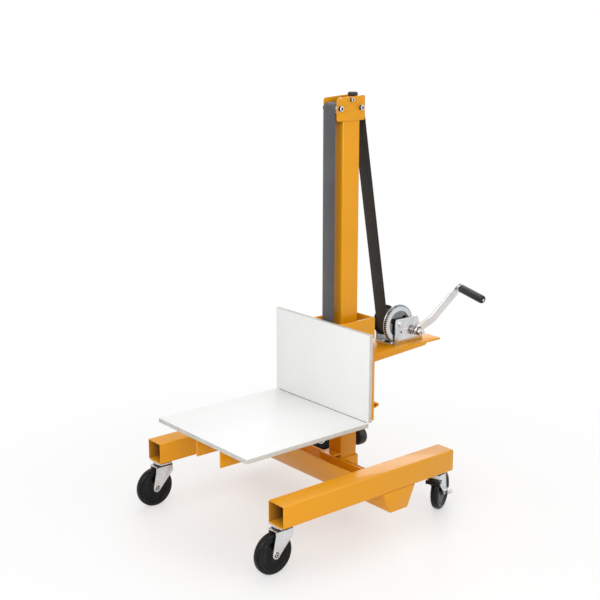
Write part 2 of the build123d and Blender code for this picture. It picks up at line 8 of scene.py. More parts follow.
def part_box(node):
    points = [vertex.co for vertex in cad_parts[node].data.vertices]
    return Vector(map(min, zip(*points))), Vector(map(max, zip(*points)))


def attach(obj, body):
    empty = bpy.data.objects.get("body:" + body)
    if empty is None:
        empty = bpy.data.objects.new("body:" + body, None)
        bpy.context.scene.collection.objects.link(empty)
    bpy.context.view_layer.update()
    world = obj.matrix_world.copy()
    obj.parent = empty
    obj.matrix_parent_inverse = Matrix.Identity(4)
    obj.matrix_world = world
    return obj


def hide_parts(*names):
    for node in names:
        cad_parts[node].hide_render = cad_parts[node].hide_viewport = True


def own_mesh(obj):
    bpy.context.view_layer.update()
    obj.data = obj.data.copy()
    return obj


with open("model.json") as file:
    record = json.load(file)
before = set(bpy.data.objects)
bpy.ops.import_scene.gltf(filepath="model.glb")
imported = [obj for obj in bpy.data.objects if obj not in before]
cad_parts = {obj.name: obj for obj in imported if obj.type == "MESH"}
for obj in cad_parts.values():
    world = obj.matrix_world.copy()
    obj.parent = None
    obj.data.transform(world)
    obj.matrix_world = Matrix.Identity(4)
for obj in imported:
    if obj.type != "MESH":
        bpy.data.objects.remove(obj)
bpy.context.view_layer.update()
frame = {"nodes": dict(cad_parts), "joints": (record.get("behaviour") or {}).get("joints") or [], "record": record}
nodes = frame["nodes"]
mm = 0.001
pinpoint = 0.0005  # radius at which a turned end closes
jointAt = {j["name"]: Vector(j["pos_m"]) for j in frame["joints"] if "pos_m" in j}
jointAxis = {j["name"]: Vector(j["axis"]) for j in frame["joints"]}
corners = ("front_left", "front_right", "rear_left", "rear_right")
print("stage: frame loaded,", len(nodes), "nodes")


# Node helpers
def feed(tree, node, inputs):
    # Each input takes a link from another node's socket, or a plain value
    for label, value in inputs.items():
        if isinstance(value, bpy.types.NodeSocket):
            tree.links.new(value, node.inputs[label])
        else:
            node.inputs[label].default_value = value


def addNode(tree, kind, inputs=None, **settings):
    node = tree.nodes.new(kind)
    for label, value in settings.items():
        setattr(node, label, value)
    feed(tree, node, inputs or {})
    return node


def made(tree, kind, inputs=None, **settings):
    # The first output of a new node
    return addNode(tree, kind, inputs, **settings).outputs[0]


def newSocket(tree, label, way, kind):
    return tree.interface.new_socket(label, in_out=way, socket_type="NodeSocket" + kind)


def newMaterial(name):
    mat = bpy.data.materials.new(name)
    mat.use_nodes = True
    return mat, mat.node_tree, mat.node_tree.nodes["Principled BSDF"]


def mathNode(tree, operation, *values, **settings):
    return made(tree, "ShaderNodeMath", dict(enumerate(values)), operation=operation, **settings)


def mapped(tree, value, low, high, toLow, toHigh, **settings):
    inputs = {"Value": value, "From Min": low, "From Max": high, "To Min": toLow, "To Max": toHigh}
    return made(tree, "ShaderNodeMapRange", inputs, **settings)


def noise(tree, vector, scale, detail):
    return made(tree, "ShaderNodeTexNoise", {"Vector": vector, "Scale": scale, "Detail": detail})


def scaled(tree, colour, amount):
    return made(tree, "ShaderNodeVectorMath", {0: colour, "Scale": amount}, operation="SCALE")


def mixed(tree, share, first, second, way="MIX"):
    inputs = {0: share, 6: first, 7: second}
    return addNode(tree, "ShaderNodeMix", inputs, data_type="RGBA", blend_type=way).outputs[2]


def ownPlace(tree):
    return addNode(tree, "ShaderNodeTexCoord").outputs["Object"]


# Mesh helpers, with their angles in degrees
meshing = dict(weld=2e-6, flat=0.6, easeFrom=38, plateFrom=40, easeSteps=2, easedSharp=40, joinedSharp=36,
               treeSharp=30)


def addObject(name, data):
    obj = bpy.data.objects.new(name, data)
    bpy.context.scene.collection.objects.link(obj)
    return obj


def addMesh(name, verts, faces, mats, edges=()):
    mesh = bpy.data.meshes.new(name)
    mesh.from_pydata([tuple(v) for v in verts], list(edges), faces)
    for mat in mats:
        mesh.materials.append(mat)
    return addObject(name, mesh)


def smooth(obj, angle):
    obj.data.shade_smooth()
    obj.data.set_sharp_from_angle(angle=math.radians(angle))


def turnedTo(place, axis, up=(0, 0, 1)):
    # Frame whose X is the axis, with Z as near to up as it goes
    x = Vector(axis).normalized()
    y = Vector(up).cross(x).normalized()
    matrix = Matrix((x, y, x.cross(y))).transposed().to_4x4()
    matrix.translation = Vector(place)
    return matrix


def along(y, z):
    # The place of something turned about X, or of an outline across X
    return Matrix.Translation((0, y, z))


def acrossAt(joint):
    return along(jointAt[joint].y, jointAt[joint].z)


def oblong(y0, y1, z0, z1):
    return [(y0, z0), (y1, z0), (y1, z1), (y0, z1)]


def arcPoints(cy, cz, r, start, end, steps):
    angles = [math.radians(start + (end - start) * k / steps) for k in range(steps + 1)]
    return [(cy + r * math.cos(a), cz + r * math.sin(a)) for a in angles]


def bothEnds(half):
    # A profile given from the middle to one end, and its mirror image
    return [(-a, r) for a, r in reversed(half)] + half


def ring(x0, x1, r, boreR, ease):
    # Profile of a bored disc with eased rims
    return [(x0, boreR), (x0, r - ease), (x0 + ease, r), (x1 - ease, r), (x1, r - ease), (x1, boreR)]


def tubeFaces(rows, count, closed):
    # Quads between rows of points, and an end face on the first and last row unless the rows close
    faces = []
    for i in range(rows if closed else rows - 1):
        a = i * count
        b = (i + 1) % rows * count
        for k in range(count):
            n = (k + 1) % count
            faces.append((a + k, a + n, b + n, b + k))
    if not closed:
        faces += [tuple(range(count)), tuple(range((rows - 1) * count, rows * count))]
    return faces


def outward(obj):
    bm = bmesh.new()
    bm.from_mesh(obj.data)
    bmesh.ops.recalc_face_normals(bm, faces=bm.faces)
    bm.to_mesh(obj.data)
    bm.free()


def rowsMesh(name, rows, mats, angle, closed=False):
    # A skin over rows of points, with its faces turned outwards
    verts = [point for row in rows for point in row]
    obj = addMesh(name, verts, tubeFaces(len(rows), len(rows[0]), closed), mats)
    outward(obj)
    smooth(obj, angle)
    return obj


def baked(obj):
    # The mesh as its modifiers leave it
    graph = bpy.context.evaluated_depsgraph_get()
    mesh = bpy.data.meshes.new_from_object(obj.evaluated_get(graph), preserve_all_data_layers=True,
                                           depsgraph=graph)
    obj.modifiers.clear()
    obj.data = mesh


def eased(obj, width, limit):
    # Every edge sharper than the limit gets a narrow round
    bevel = obj.modifiers.new("easedEdges", "BEVEL")
    bevel.width = width
    bevel.segments = meshing["easeSteps"]
    bevel.limit_method = "ANGLE"
    bevel.angle_limit = math.radians(limit)
    baked(obj)
    smooth(obj, meshing["easedSharp"])
    return obj


def lathe(name, profile, place, mats, steps=48, closed=False, bandMat=None, angle=32):
    # profile: (along, radius) pairs, turned about X; bandMat picks each band's material
    turns = [2 * math.pi * k / steps for k in range(steps)]
    rows = [[place @ Vector((x, r * math.cos(a), r * math.sin(a))) for a in turns] for x, r in profile]
    obj = rowsMesh(name, rows, mats, angle, closed)
    if bandMat:
        count = len(profile) if closed else len(profile) - 1
        bands = [i for i in range(count) for k in range(steps)] + [0, count - 1]
        for poly, band in zip(obj.data.polygons, bands):
            poly.material_index = bandMat(band)
    return obj


def softened(node, name, mats, width, pick):
    # A copy of a CAD node with its sharp edges eased; pick gives each face's material
    mesh = nodes[node].data.copy()
    mesh.name = name
    for label in ("custom_normal", "sharp_edge", "sharp_face"):
        if label in mesh.attributes:
            mesh.attributes.remove(mesh.attributes[label])
    bm = bmesh.new()
    bm.from_mesh(mesh)
    bmesh.ops.remove_doubles(bm, verts=bm.verts, dist=meshing["weld"])
    flat = math.radians(meshing["flat"])
    bmesh.ops.dissolve_limit(bm, angle_limit=flat, verts=bm.verts, edges=bm.edges)
    bm.to_mesh(mesh)
    bm.free()
    mesh.materials.clear()
    for mat in mats:
        mesh.materials.append(mat)
    if pick:
        for poly in mesh.polygons:
            poly.material_index = pick(poly)
    return eased(addObject(name, mesh), width, meshing["easeFrom"])


def plate(name, outline, x0, x1, place, mats, ease):
    # A flat plate cut to an outline of (y, z) points, standing across X
    count = len(outline)
    verts = [place @ Vector((x, y, z)) for x in (x0, x1) for y, z in outline]
    faces = [tuple(range(count)), tuple(range(2 * count - 1, count - 1, -1))]
    faces += [(i, (i + 1) % count, count + (i + 1) % count, count + i) for i in range(count)]
    obj = addMesh(name, verts, faces, mats)
    outward(obj)
    return eased(obj, ease, meshing["plateFrom"])


def joined(name, parts):
    # Several meshes as one piece, materials merged
    mats = []
    bm = bmesh.new()
    for part in parts:
        remap = []
        for mat in part.data.materials:
            if mat not in mats:
                mats.append(mat)
            remap.append(mats.index(mat))
        start = len(bm.faces)
        bm.from_mesh(part.data)
        bm.faces.ensure_lookup_table()
        for face in bm.faces[start:]:
            face.material_index = remap[face.material_index]
    whole = bpy.data.meshes.new(name)
    bm.to_mesh(whole)
    bm.free()
    for mat in mats:
        whole.materials.append(mat)
    for part in parts:
        bpy.data.objects.remove(part)
    obj = addObject(name, whole)
    smooth(obj, meshing["joinedSharp"])
    return obj


# Each piece rides on its body and hides the CAD nodes it stands for; its slot is not used
def settle(obj, body, slot, *replaced):
    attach(obj, body)
    if replaced:
        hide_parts(*replaced)


def turned(node, body, slot, profile, place, mats, **ways):
    settle(lathe(node + "_turned", profile, place, mats, **ways), body, slot, node)


def easedCopy(node, body, slot, mats, width, ending="_eased", pick=None):
    # width in millimetres
    settle(softened(node, node + ending, mats, width * mm, pick), body, slot, node)


# Stage: floor, light and camera
studio = dict(
    cameraAt=(2.32363, -2.003276, 1.34364), lookAt=(0, -0.080316, 0.59443), lens=69.62, sensor=36,
    floorSize=14.0, floorColour=(0.94, 0.94, 0.935, 1), floorRough=0.45, floorGloss=0.25,
    fadeFrom=0.35, fadeTo=1.3, fadeLeast=0.5, ambient=0.46,
    lamps=[dict(name="overhead", at=(-0.6, 0.8, 2.7), aim=(0, 0, 0.4), size=2.3, power=28),
           dict(name="frontBox", at=(1.0, -2.7, 2.2), aim=(0, 0, 0.5), size=1.8, power=28),
           dict(name="sideBox", at=(3.0, 0.6, 2.1), aim=(0, 0, 0.5), size=1.6, power=14),
           dict(name="cornerBox", at=(2.7, -2.0, 2.2), aim=(0, 0, 0.5), size=1.6, power=30),
           dict(name="rearBox", at=(-2.7, 2.9, 1.6), aim=(0, 0.1, 0.4), size=1.4, power=9)])


def stand(obj, place, target):
    obj.location = place
    obj.rotation_euler = (Vector(target) - Vector(place)).to_track_quat("-Z", "Y").to_euler()


def buildCamera():
    data = bpy.data.cameras.new("camera")
    data.lens = studio["lens"]
    data.sensor_width = studio["sensor"]
    camera = addObject("camera", data)
    stand(camera, studio["cameraAt"], studio["lookAt"])
    bpy.context.scene.camera = camera
    bpy.context.scene.view_settings.view_transform = "Standard"


def buildLamps():
    for lamp in studio["lamps"]:
        data = bpy.data.lights.new(lamp["name"], "AREA")
        data.shape = "SQUARE"
        data.size = lamp["size"]
        data.energy = lamp["power"]
        stand(addObject(lamp["name"], data), lamp["at"], lamp["aim"])


def seenDirectly(tree):
    # 1 for the camera and for mirror or glass rays, 0 for the light that falls on things
    path = addNode(tree, "ShaderNodeLightPath").outputs
    total = path["Is Camera Ray"]
    for label in ("Is Glossy Ray", "Is Transmission Ray"):
        total = mathNode(tree, "ADD", total, path[label], use_clamp=True)
    return total


def buildWorld():
    world = bpy.data.worlds.new("studioWorld")
    bpy.context.scene.world = world
    world.use_nodes = True
    tree = world.node_tree
    level = mapped(tree, seenDirectly(tree), 0.0, 1.0, studio["ambient"], 1.0)
    feed(tree, tree.nodes["Background"], {"Color": (1, 1, 1, 1), "Strength": level})


def buildFloor():
    half = studio["floorSize"] / 2
    square = [(-half, -half, 0), (half, -half, 0), (half, half, 0), (-half, half, 0)]
    mat, tree, paper = newMaterial("floorPaper")
    feed(tree, paper, {"Base Color": studio["floorColour"], "Roughness": studio["floorRough"],
                       "Specular IOR Level": studio["floorGloss"]})
    far = addNode(tree, "ShaderNodeVectorMath", {0: ownPlace(tree)}, operation="LENGTH").outputs["Value"]
    fade = mapped(tree, far, studio["fadeFrom"], studio["fadeTo"], studio["fadeLeast"], 1.0,
                  interpolation_type="SMOOTHSTEP")
    share = mathNode(tree, "MULTIPLY", fade, seenDirectly(tree))
    white = made(tree, "ShaderNodeEmission", {"Strength": 1.0})
    mix = made(tree, "ShaderNodeMixShader", {"Fac": share, 1: paper.outputs["BSDF"], 2: white})
    feed(tree, tree.nodes["Material Output"], {"Surface": mix})
    addMesh("floor", square, [(0, 1, 2, 3)], [mat])


# Shader groups shared by the finishes
noiseBand = (0.3, 0.7)  # the stretch of a noise that most of its values fall in
zincStops = [(0.30, (0.70, 0.86, 1.0, 1)), (0.44, (1.0, 1.0, 1.0, 1)), (0.56, (1.0, 0.86, 0.80, 1)),
             (0.68, (1.0, 0.95, 0.74, 1))]
weaveLook = dict(ribs=5.0, threads=9.0, sway=0.9, dark=0.72, light=1.12)


def shaderGroup(name, inputs, outputs):
    # Sockets named Color take a colour, all others a number
    tree = bpy.data.node_groups.new(name, "ShaderNodeTree")
    for label, value in inputs.items():
        newSocket(tree, label, "INPUT", "Color" if label == "Color" else "Float").default_value = value
    for label in outputs:
        newSocket(tree, label, "OUTPUT", "Color" if label == "Color" else "Float")
    return tree, addNode(tree, "NodeGroupInput").outputs, addNode(tree, "NodeGroupOutput")


def buildSurfaceGroup():
    # Uneven tone, uneven gloss and fine grain, all in the piece's own place
    tree, given, out = shaderGroup("surfaceVariation", {
        "Color": (0.8, 0.8, 0.8, 1), "Tone Scale": 6.0, "Tone Amount": 0.05, "Roughness": 0.4,
        "Roughness Amount": 0.06, "Grain Scale": 700.0}, ("Color", "Roughness", "Height"))
    where = ownPlace(tree)
    tone = noise(tree, where, given["Tone Scale"], detail=4.0)
    amount = given["Tone Amount"]
    shade = mapped(tree, tone, *noiseBand, mathNode(tree, "SUBTRACT", 1.0, amount),
                   mathNode(tree, "ADD", 1.0, amount))
    rough = given["Roughness"]
    spread = given["Roughness Amount"]
    gloss = mapped(tree, tone, *noiseBand, mathNode(tree, "ADD", rough, spread),
                   mathNode(tree, "SUBTRACT", rough, spread))
    feed(tree, out, {"Color": scaled(tree, given["Color"], shade), "Roughness": gloss,
                     "Height": noise(tree, where, given["Grain Scale"], detail=2.0)})
    return tree


def buildTintGroup():
    # Pale rainbow of a passivated zinc coat: slow bands of straw, rose and blue
    tree, given, out = shaderGroup("zincTint", {
        "Color": (0.75, 0.76, 0.77, 1), "Scale": 30.0, "Amount": 0.35}, ("Color",))
    bands = noise(tree, ownPlace(tree), given["Scale"], detail=2.0)
    ramp = addNode(tree, "ShaderNodeValToRGB", {"Fac": bands})
    elements = ramp.color_ramp.elements
    elements[0].position, elements[0].color = zincStops[0]
    elements[1].position, elements[1].color = zincStops[-1]
    for position, colour in zincStops[1:-1]:
        elements.new(position).color = colour
    tinted = mixed(tree, given["Amount"], given["Color"], ramp.outputs["Color"], "MULTIPLY")
    feed(tree, out, {"Color": tinted})
    return tree


def buildWeaveGroup():
    # Webbing: ribs across the band, threads along it, from the strap's own map in centimetres
    w = weaveLook
    tree, given, out = shaderGroup("webbingWeave", {
        "Ribs Per Cm": w["ribs"], "Threads Per Cm": w["threads"]}, ("Height", "Shade"))
    uv = made(tree, "ShaderNodeUVMap", uv_map="bandMap")
    split = addNode(tree, "ShaderNodeSeparateXYZ", {"Vector": uv}).outputs
    turn = 2 * math.pi
    threads = mathNode(tree, "MULTIPLY", given["Threads Per Cm"], turn)
    ribs = mathNode(tree, "MULTIPLY", given["Ribs Per Cm"], turn)
    across = mathNode(tree, "MULTIPLY", split["X"], threads)
    onward = mathNode(tree, "MULTIPLY", split["Y"], ribs)
    swayed = mathNode(tree, "MULTIPLY_ADD", mathNode(tree, "SINE", across), w["sway"], onward)
    height = mathNode(tree, "MULTIPLY_ADD", mathNode(tree, "SINE", swayed), 0.5, 0.5)
    feed(tree, out, {"Height": height, "Shade": mapped(tree, height, 0.0, 1.0, w["dark"], w["light"])})
    return tree


# Finishes, one dictionary each
paintFinish = dict(color=(0.80, 0.335, 0.004, 1), toneScale=3.5, tone=0.03, rough=0.34, roughVary=0.04,
                   grain=420, bump=0.12, depth=0.0003, specular=0.14, coat=0.36, coatRough=0.10)
# Painted shade inside the leg tubes: dark brown deep in, the floor lit further in than the walls
tubeShadeFinish = dict(color=(0.085, 0.032, 0.004, 1), toneScale=18, tone=0.15, rough=0.6, roughVary=0.06,
                    grain=600, bump=0.12, depth=0.0003, floorFrom=0.004, wallShadeFrom=-0.040, shadeFullAt=0.050)
boardFinish = dict(color=(0.895, 0.90, 0.89, 1), toneScale=5.0, tone=0.012, rough=0.42, roughVary=0.05,
                   grain=260, bump=0.06, depth=0.0003, markColor=(0.80, 0.80, 0.78, 1), markScale=3.0,
                   markStretch=(16.0, 16.0, 2.2), markFrom=0.66, markFull=0.80, markMost=0.55)
# Edge band: grey-beige, kept darker in part as painted shade for the deck's edges
edgeAndShadeFinish = dict(color=(0.60, 0.585, 0.54, 1), toneScale=40, tone=0.07, rough=0.6, roughVary=0.06,
                  grain=900, bump=0.25, depth=0.0004)
zincFinish = dict(color=(0.66, 0.675, 0.69, 1), toneScale=22, tone=0.05, rough=0.30, roughVary=0.08,
                  grain=1500, bump=0.10, depth=0.0002, tintScale=26, tint=0.4)
armFinish = dict(color=(0.71, 0.70, 0.69, 1), toneScale=14, tone=0.04, rough=0.36, roughVary=0.06,
                 grain=1400, bump=0.10, depth=0.0002, tintScale=14, tint=0.32)
# Bronze washers, kept dark in part as painted shade in the gaps of the brake stack
bronzeAndShadeFinish = dict(color=(0.14, 0.105, 0.08, 1), toneScale=60, tone=0.18, rough=0.42, roughVary=0.1,
                    grain=1600, bump=0.2, depth=0.0002)
# One webbing in two painted tones: a lit copy for the front run, a darker, duller shaded copy behind the mast
litStrapFinish = dict(color=(0.074, 0.074, 0.082, 1), toneScale=9, tone=0.10, rough=0.58, roughVary=0.06,
                        grain=700, bump=0.55, depth=0.0006, sheen=0.22, sheenRough=0.5)
shadedStrapFinish = dict(color=(0.016, 0.015, 0.015, 1), toneScale=9, tone=0.12, rough=0.76, roughVary=0.06,
                       grain=700, bump=0.55, depth=0.0006, sheen=0.10, sheenRough=0.5)
tyreFinish = dict(color=(0.006, 0.006, 0.0062, 1), toneScale=26, tone=0.25, rough=0.27, roughVary=0.07,
                  grain=520, bump=0.10, depth=0.0004, specular=0.18)
hubFinish = dict(color=(0.005, 0.005, 0.0052, 1), toneScale=40, tone=0.2, rough=0.22, roughVary=0.07,
                 grain=800, bump=0.10, depth=0.0003, specular=0.16)
gripFinish = dict(color=(0.012, 0.012, 0.013, 1), toneScale=30, tone=0.2, rough=0.48, roughVary=0.06,
                  grain=900, bump=0.3, depth=0.0004)
knobFinish = dict(color=(0.024, 0.024, 0.026, 1), toneScale=40, tone=0.2, rough=0.40, roughVary=0.06,
                  grain=1200, bump=0.2, depth=0.0003)
weldFinish = dict(color=(0.60, 0.235, 0.006, 1), toneScale=60, tone=0.16, rough=0.42, roughVary=0.1,
                  grain=900, bump=0.2, depth=0.0004)
# Painted shade on the gear's dish floor, a dark grey steel
dishShadeFinish = dict(color=(0.27, 0.27, 0.28, 1), toneScale=50, tone=0.3, rough=0.34, roughVary=0.1,
                     grain=1500, bump=0.15, depth=0.0002)
# Near black: painted shade in gaps, holes and grooves, a painted reflection on nut sides, dark drum bands
blackAndShadeFinish = dict(color=(0.012, 0.011, 0.010, 1), toneScale=60, tone=0.2, rough=0.7, roughVary=0.1,
                  grain=900, bump=0.1, depth=0.0003)


def dressed(name, look, metallic=0.0):
    # Principled shader fed by the shared variation group; the colour and bump can be fed again
    mat, tree, shader = newMaterial(name)
    group = addNode(tree, "ShaderNodeGroup", {
        "Color": look["color"], "Tone Scale": look["toneScale"], "Tone Amount": look["tone"],
        "Roughness": look["rough"], "Roughness Amount": look["roughVary"],
        "Grain Scale": look["grain"]}, node_tree=surfaceGroup).outputs
    bump = addNode(tree, "ShaderNodeBump", {"Strength": look["bump"], "Distance": look["depth"],
                                            "Height": group["Height"]})
    feed(tree, shader, {"Metallic": metallic, "Specular IOR Level": look.get("specular", 0.4),
                        "Base Color": group["Color"], "Roughness": group["Roughness"],
                        "Normal": bump.outputs["Normal"]})
    return mat, tree, shader, group["Color"], bump


def plain(name, look, metallic=0.0):
    return dressed(name, look, metallic)[0]


def paintMaterial():
    mat, tree, shader = dressed("yellowPowderCoat", paintFinish)[:3]
    feed(tree, shader, {"Coat Weight": paintFinish["coat"], "Coat Roughness": paintFinish["coatRough"]})
    return mat


def tubeShadeMaterial(name, shadeStart):
    # Painted shade inside the tube: the paint colour near each end, darkening to brown deeper in
    mat, tree, shader, colour = dressed(name, tubeShadeFinish)[:4]
    low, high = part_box("leg_right")
    y = addNode(tree, "ShaderNodeSeparateXYZ", {"Vector": ownPlace(tree)}).outputs["Y"]
    fromFront = mathNode(tree, "SUBTRACT", y, low.y)
    deep = mathNode(tree, "MINIMUM", fromFront, mathNode(tree, "SUBTRACT", high.y, y))
    shadeShare = mapped(tree, deep, shadeStart, tubeShadeFinish["shadeFullAt"], 0.0, 1.0)
    feed(tree, shader, {"Base Color": mixed(tree, shadeShare, paintFinish["color"], colour)})
    return mat


def platedMaterial(name, look):
    mat, tree, shader, colour = dressed(name, look, metallic=1.0)[:4]
    tint = made(tree, "ShaderNodeGroup", {"Color": colour, "Scale": look["tintScale"],
                                          "Amount": look["tint"]}, node_tree=tintGroup)
    feed(tree, shader, {"Base Color": tint})
    return mat


def webbingMaterial(name, look):
    mat, tree, shader, colour, bump = dressed(name, look)
    weave = addNode(tree, "ShaderNodeGroup", node_tree=weaveGroup).outputs
    feed(tree, bump, {"Height": weave["Height"]})
    feed(tree, shader, {"Sheen Weight": look["sheen"], "Sheen Roughness": look["sheenRough"],
                        "Base Color": scaled(tree, colour, weave["Shade"])})
    return mat


def boardMaterial():
    # White facing with a few faint upright marks
    b = boardFinish
    mat, tree, shader, colour = dressed("whiteBoard", b)[:4]
    stretch = made(tree, "ShaderNodeMapping", {"Vector": ownPlace(tree), "Scale": b["markStretch"]})
    streak = noise(tree, stretch, b["markScale"], detail=3.0)
    share = mapped(tree, streak, b["markFrom"], b["markFull"], 0.0, b["markMost"])
    feed(tree, shader, {"Base Color": mixed(tree, share, colour, b["markColor"])})
    return mat


buildCamera()
buildLamps()
buildWorld()
buildFloor()
surfaceGroup = buildSurfaceGroup()
tintGroup = buildTintGroup()
weaveGroup = buildWeaveGroup()
paint = paintMaterial()
# Lit floor and shaded walls inside the leg tubes, both painted shade
tubeFloorShade = tubeShadeMaterial("tubeFloorPaintedShade", tubeShadeFinish["floorFrom"])
tubeWallShade = tubeShadeMaterial("tubeWallPaintedShade", tubeShadeFinish["wallShadeFrom"])
board = boardMaterial()
boardEdgeAndShade = plain("boardEdgeAndShade", edgeAndShadeFinish)
zinc = platedMaterial("zincPlate", zincFinish)
armSteel = platedMaterial("crankSteel", armFinish)
bronze = plain("bronzeWasherAndShade", bronzeAndShadeFinish, metallic=1.0)
litWebbing = webbingMaterial("webbingLit", litStrapFinish)
shadedWebbing = webbingMaterial("webbingShaded", shadedStrapFinish)
tyre = plain("tyreRubber", tyreFinish)
hub = plain("hubPlastic", hubFinish)
gripRubber = plain("gripRubber", gripFinish)
knobPlastic = plain("knobPlastic", knobFinish)
weldPaint = plain("weldPaint", weldFinish)
blackAndShade = plain("nearBlackAndPaintedShade", blackAndShadeFinish)
dishShade = plain("steelDishShade", dishShadeFinish, metallic=1.0)
print("stage: studio and", len(bpy.data.materials), "materials ready")


# Geometry trees for bolts, weld beads and gear teeth
def geometryTree(name, inputs):
    tree = bpy.data.node_groups.new(name, "GeometryNodeTree")
    newSocket(tree, "Geometry", "INPUT", "Geometry")
    ids = {label: newSocket(tree, label, "INPUT", kind).identifier for label, kind in inputs.items()}
    newSocket(tree, "Geometry", "OUTPUT", "Geometry")
    return tree, ids, addNode(tree, "NodeGroupInput").outputs


def ended(tree, given, copies):
    # Copies on points, made real, with their finish, sent out
    place = made(tree, "GeometryNodeInstanceOnPoints", copies)
    real = made(tree, "GeometryNodeRealizeInstances", {"Geometry": place})
    finish = made(tree, "GeometryNodeSetMaterial", {"Geometry": real, "Material": given["Finish"]})
    addNode(tree, "NodeGroupOutput", {"Geometry": finish})


def runTree(obj, tree, ids, values):
    mod = obj.modifiers.new(tree.name, "NODES")
    mod.node_group = tree
    for label, value in values.items():
        mod[ids[label]] = value
    baked(obj)
    smooth(obj, meshing["treeSharp"])
    return obj


def buildBoltTree():
    # Washer, head and stud, each a prism that stands on the one before
    prisms = (("Washer", 28), ("Head", 6), ("Stud", 16))
    inputs = {label + what: "Float" for label, sides in prisms for what in (" Radius", " Height")}
    tree, ids, given = geometryTree("boltHeads", inputs | {"Finish": "Material"})
    join = addNode(tree, "GeometryNodeJoinGeometry")
    base = 0.0
    for label, sides in prisms:
        high = given[label + " Height"]
        prism = made(tree, "GeometryNodeMeshCylinder", {
            "Vertices": sides, "Radius": given[label + " Radius"], "Depth": high})
        lift = made(tree, "ShaderNodeCombineXYZ", {"Z": mathNode(tree, "MULTIPLY_ADD", high, 0.5, base)})
        move = made(tree, "GeometryNodeTransform", {"Geometry": prism, "Translation": lift})
        feed(tree, join, {"Geometry": move})
        base = mathNode(tree, "ADD", base, high)
    ended(tree, given, {"Points": given["Geometry"], "Instance": join.outputs["Geometry"]})
    return tree, ids


def buildWeldTree():
    # Small balls of uneven size, close together along each line
    tree, ids, given = geometryTree("weldBeads", {
        "Bead Radius": "Float", "Pitch": "Float", "Least": "Float", "Most": "Float", "Seed": "Int",
        "Finish": "Material"})
    curve = made(tree, "GeometryNodeMeshToCurve", {"Mesh": given["Geometry"]})
    spread = made(tree, "GeometryNodeResampleCurve", {"Curve": curve, "Length": given["Pitch"]},
                  mode="LENGTH")
    ball = made(tree, "GeometryNodeMeshIcoSphere", {"Radius": given["Bead Radius"], "Subdivisions": 2})
    vary = addNode(tree, "FunctionNodeRandomValue", {2: given["Least"], 3: given["Most"],
                                                     "Seed": given["Seed"]}, data_type="FLOAT")
    ended(tree, given, {"Points": spread, "Instance": ball, "Scale": vary.outputs[1]})
    return tree, ids


def buildToothTree():
    # Teeth round a wheel about Z: each a block that narrows outwards, turned to face away from the middle
    tree, ids, given = geometryTree("gearTeeth", {
        "Teeth": "Int", "Root Radius": "Float", "Reach": "Float", "Root Width": "Float",
        "Tip Width": "Float", "Thickness": "Float", "Finish": "Material"})
    reach = given["Reach"]
    circle = made(tree, "GeometryNodeMeshCircle", {"Vertices": given["Teeth"],
                                                   "Radius": given["Root Radius"]})
    size = made(tree, "ShaderNodeCombineXYZ", {"X": reach, "Y": 1.0, "Z": given["Thickness"]})
    cube = made(tree, "GeometryNodeMeshCube", {"Size": size})
    where = made(tree, "GeometryNodeInputPosition")
    split = addNode(tree, "ShaderNodeSeparateXYZ", {"Vector": where}).outputs
    out = mathNode(tree, "MULTIPLY_ADD", reach, 0.5, split["X"])
    share = mathNode(tree, "DIVIDE", out, reach)
    wide = mapped(tree, share, 0.0, 1.0, given["Root Width"], given["Tip Width"])
    place = made(tree, "ShaderNodeCombineXYZ", {
        "X": out, "Y": mathNode(tree, "MULTIPLY", split["Y"], wide), "Z": split["Z"]})
    narrow = made(tree, "GeometryNodeSetPosition", {"Geometry": cube, "Position": place})
    turn = made(tree, "FunctionNodeAlignRotationToVector", {"Vector": where}, axis="X", pivot_axis="Z")
    ended(tree, given, {"Points": circle, "Instance": narrow, "Rotation": turn})
    return tree, ids


boltTree, boltIds = buildBoltTree()
weldTree, weldIds = buildWeldTree()
toothTree, toothIds = buildToothTree()


# Painted steel: every plate and tube, with eased edges in millimetres
paintedEase = dict(leg_right=1.2, leg_left=1.2, base_trough=1.0, foot_bar=1.0, mast=1.2, mast_socket=0.8,
                   carriage_stop=0.8, head_side_right=0.6, head_side_left=0.6, head_bridge=0.5,
                   winch_shelf=0.9, carriage_side_right=0.8, carriage_side_left=0.8, ring_plates=0.8,
                   back_plate=0.8, back_stiffeners=0.6, cross_ties=0.8)
# A leg's faces within skin of its outline are on its outside
legTube = dict(skin=0.0015, endFrom=0.5, floorFrom=0.7)


def buildPainted():
    bodyOf = {n: b for b, names in frame["record"]["behaviour"]["bodies"].items() for n in names}
    for node, ease in paintedEase.items():
        low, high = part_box(node)
        middle = (low + high) / 2
        reach = (high.z - low.z) / 2 - legTube["skin"]

        def tubeShadeSide(poly):
            # Inner faces of the legs get painted shade, the walls darker than the floor, which stays lit further
            # in
            away = poly.center - middle
            if abs(poly.normal.y) > legTube["endFrom"] or max(abs(away.x), abs(away.z)) > reach:
                return 0
            return 1 if poly.normal.z > legTube["floorFrom"] else 2

        easedCopy(node, bodyOf[node], "yellow_paint", [paint, tubeFloorShade, tubeWallShade], ease, "_painted",
                  tubeShadeSide if node.startswith("leg") else None)


# Deck and backboard: white facing, grey-beige edges that are partly painted shade; a painted shadow in the joint
boardSize = dict(ease=1.0, faceFrom=0.9, shadowStripDeep=0.005, shadowStripHigh=0.002, shadowStripIn=0.012, shadowStripDown=0.0010)


def shadowGapStrip():
    # Painted shadow: a dark strip behind the deck's rear edge, under the backboard, standing in for the shade in
    # the joint
    s = boardSize
    low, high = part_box("platform")
    top = high.z - s["shadowStripDown"]
    outline = oblong(high.y, high.y + s["shadowStripDeep"], top - s["shadowStripHigh"], top)
    return plate("strip", outline, low.x + s["shadowStripIn"], high.x - s["shadowStripIn"], along(0, 0), [blackAndShade], 0)


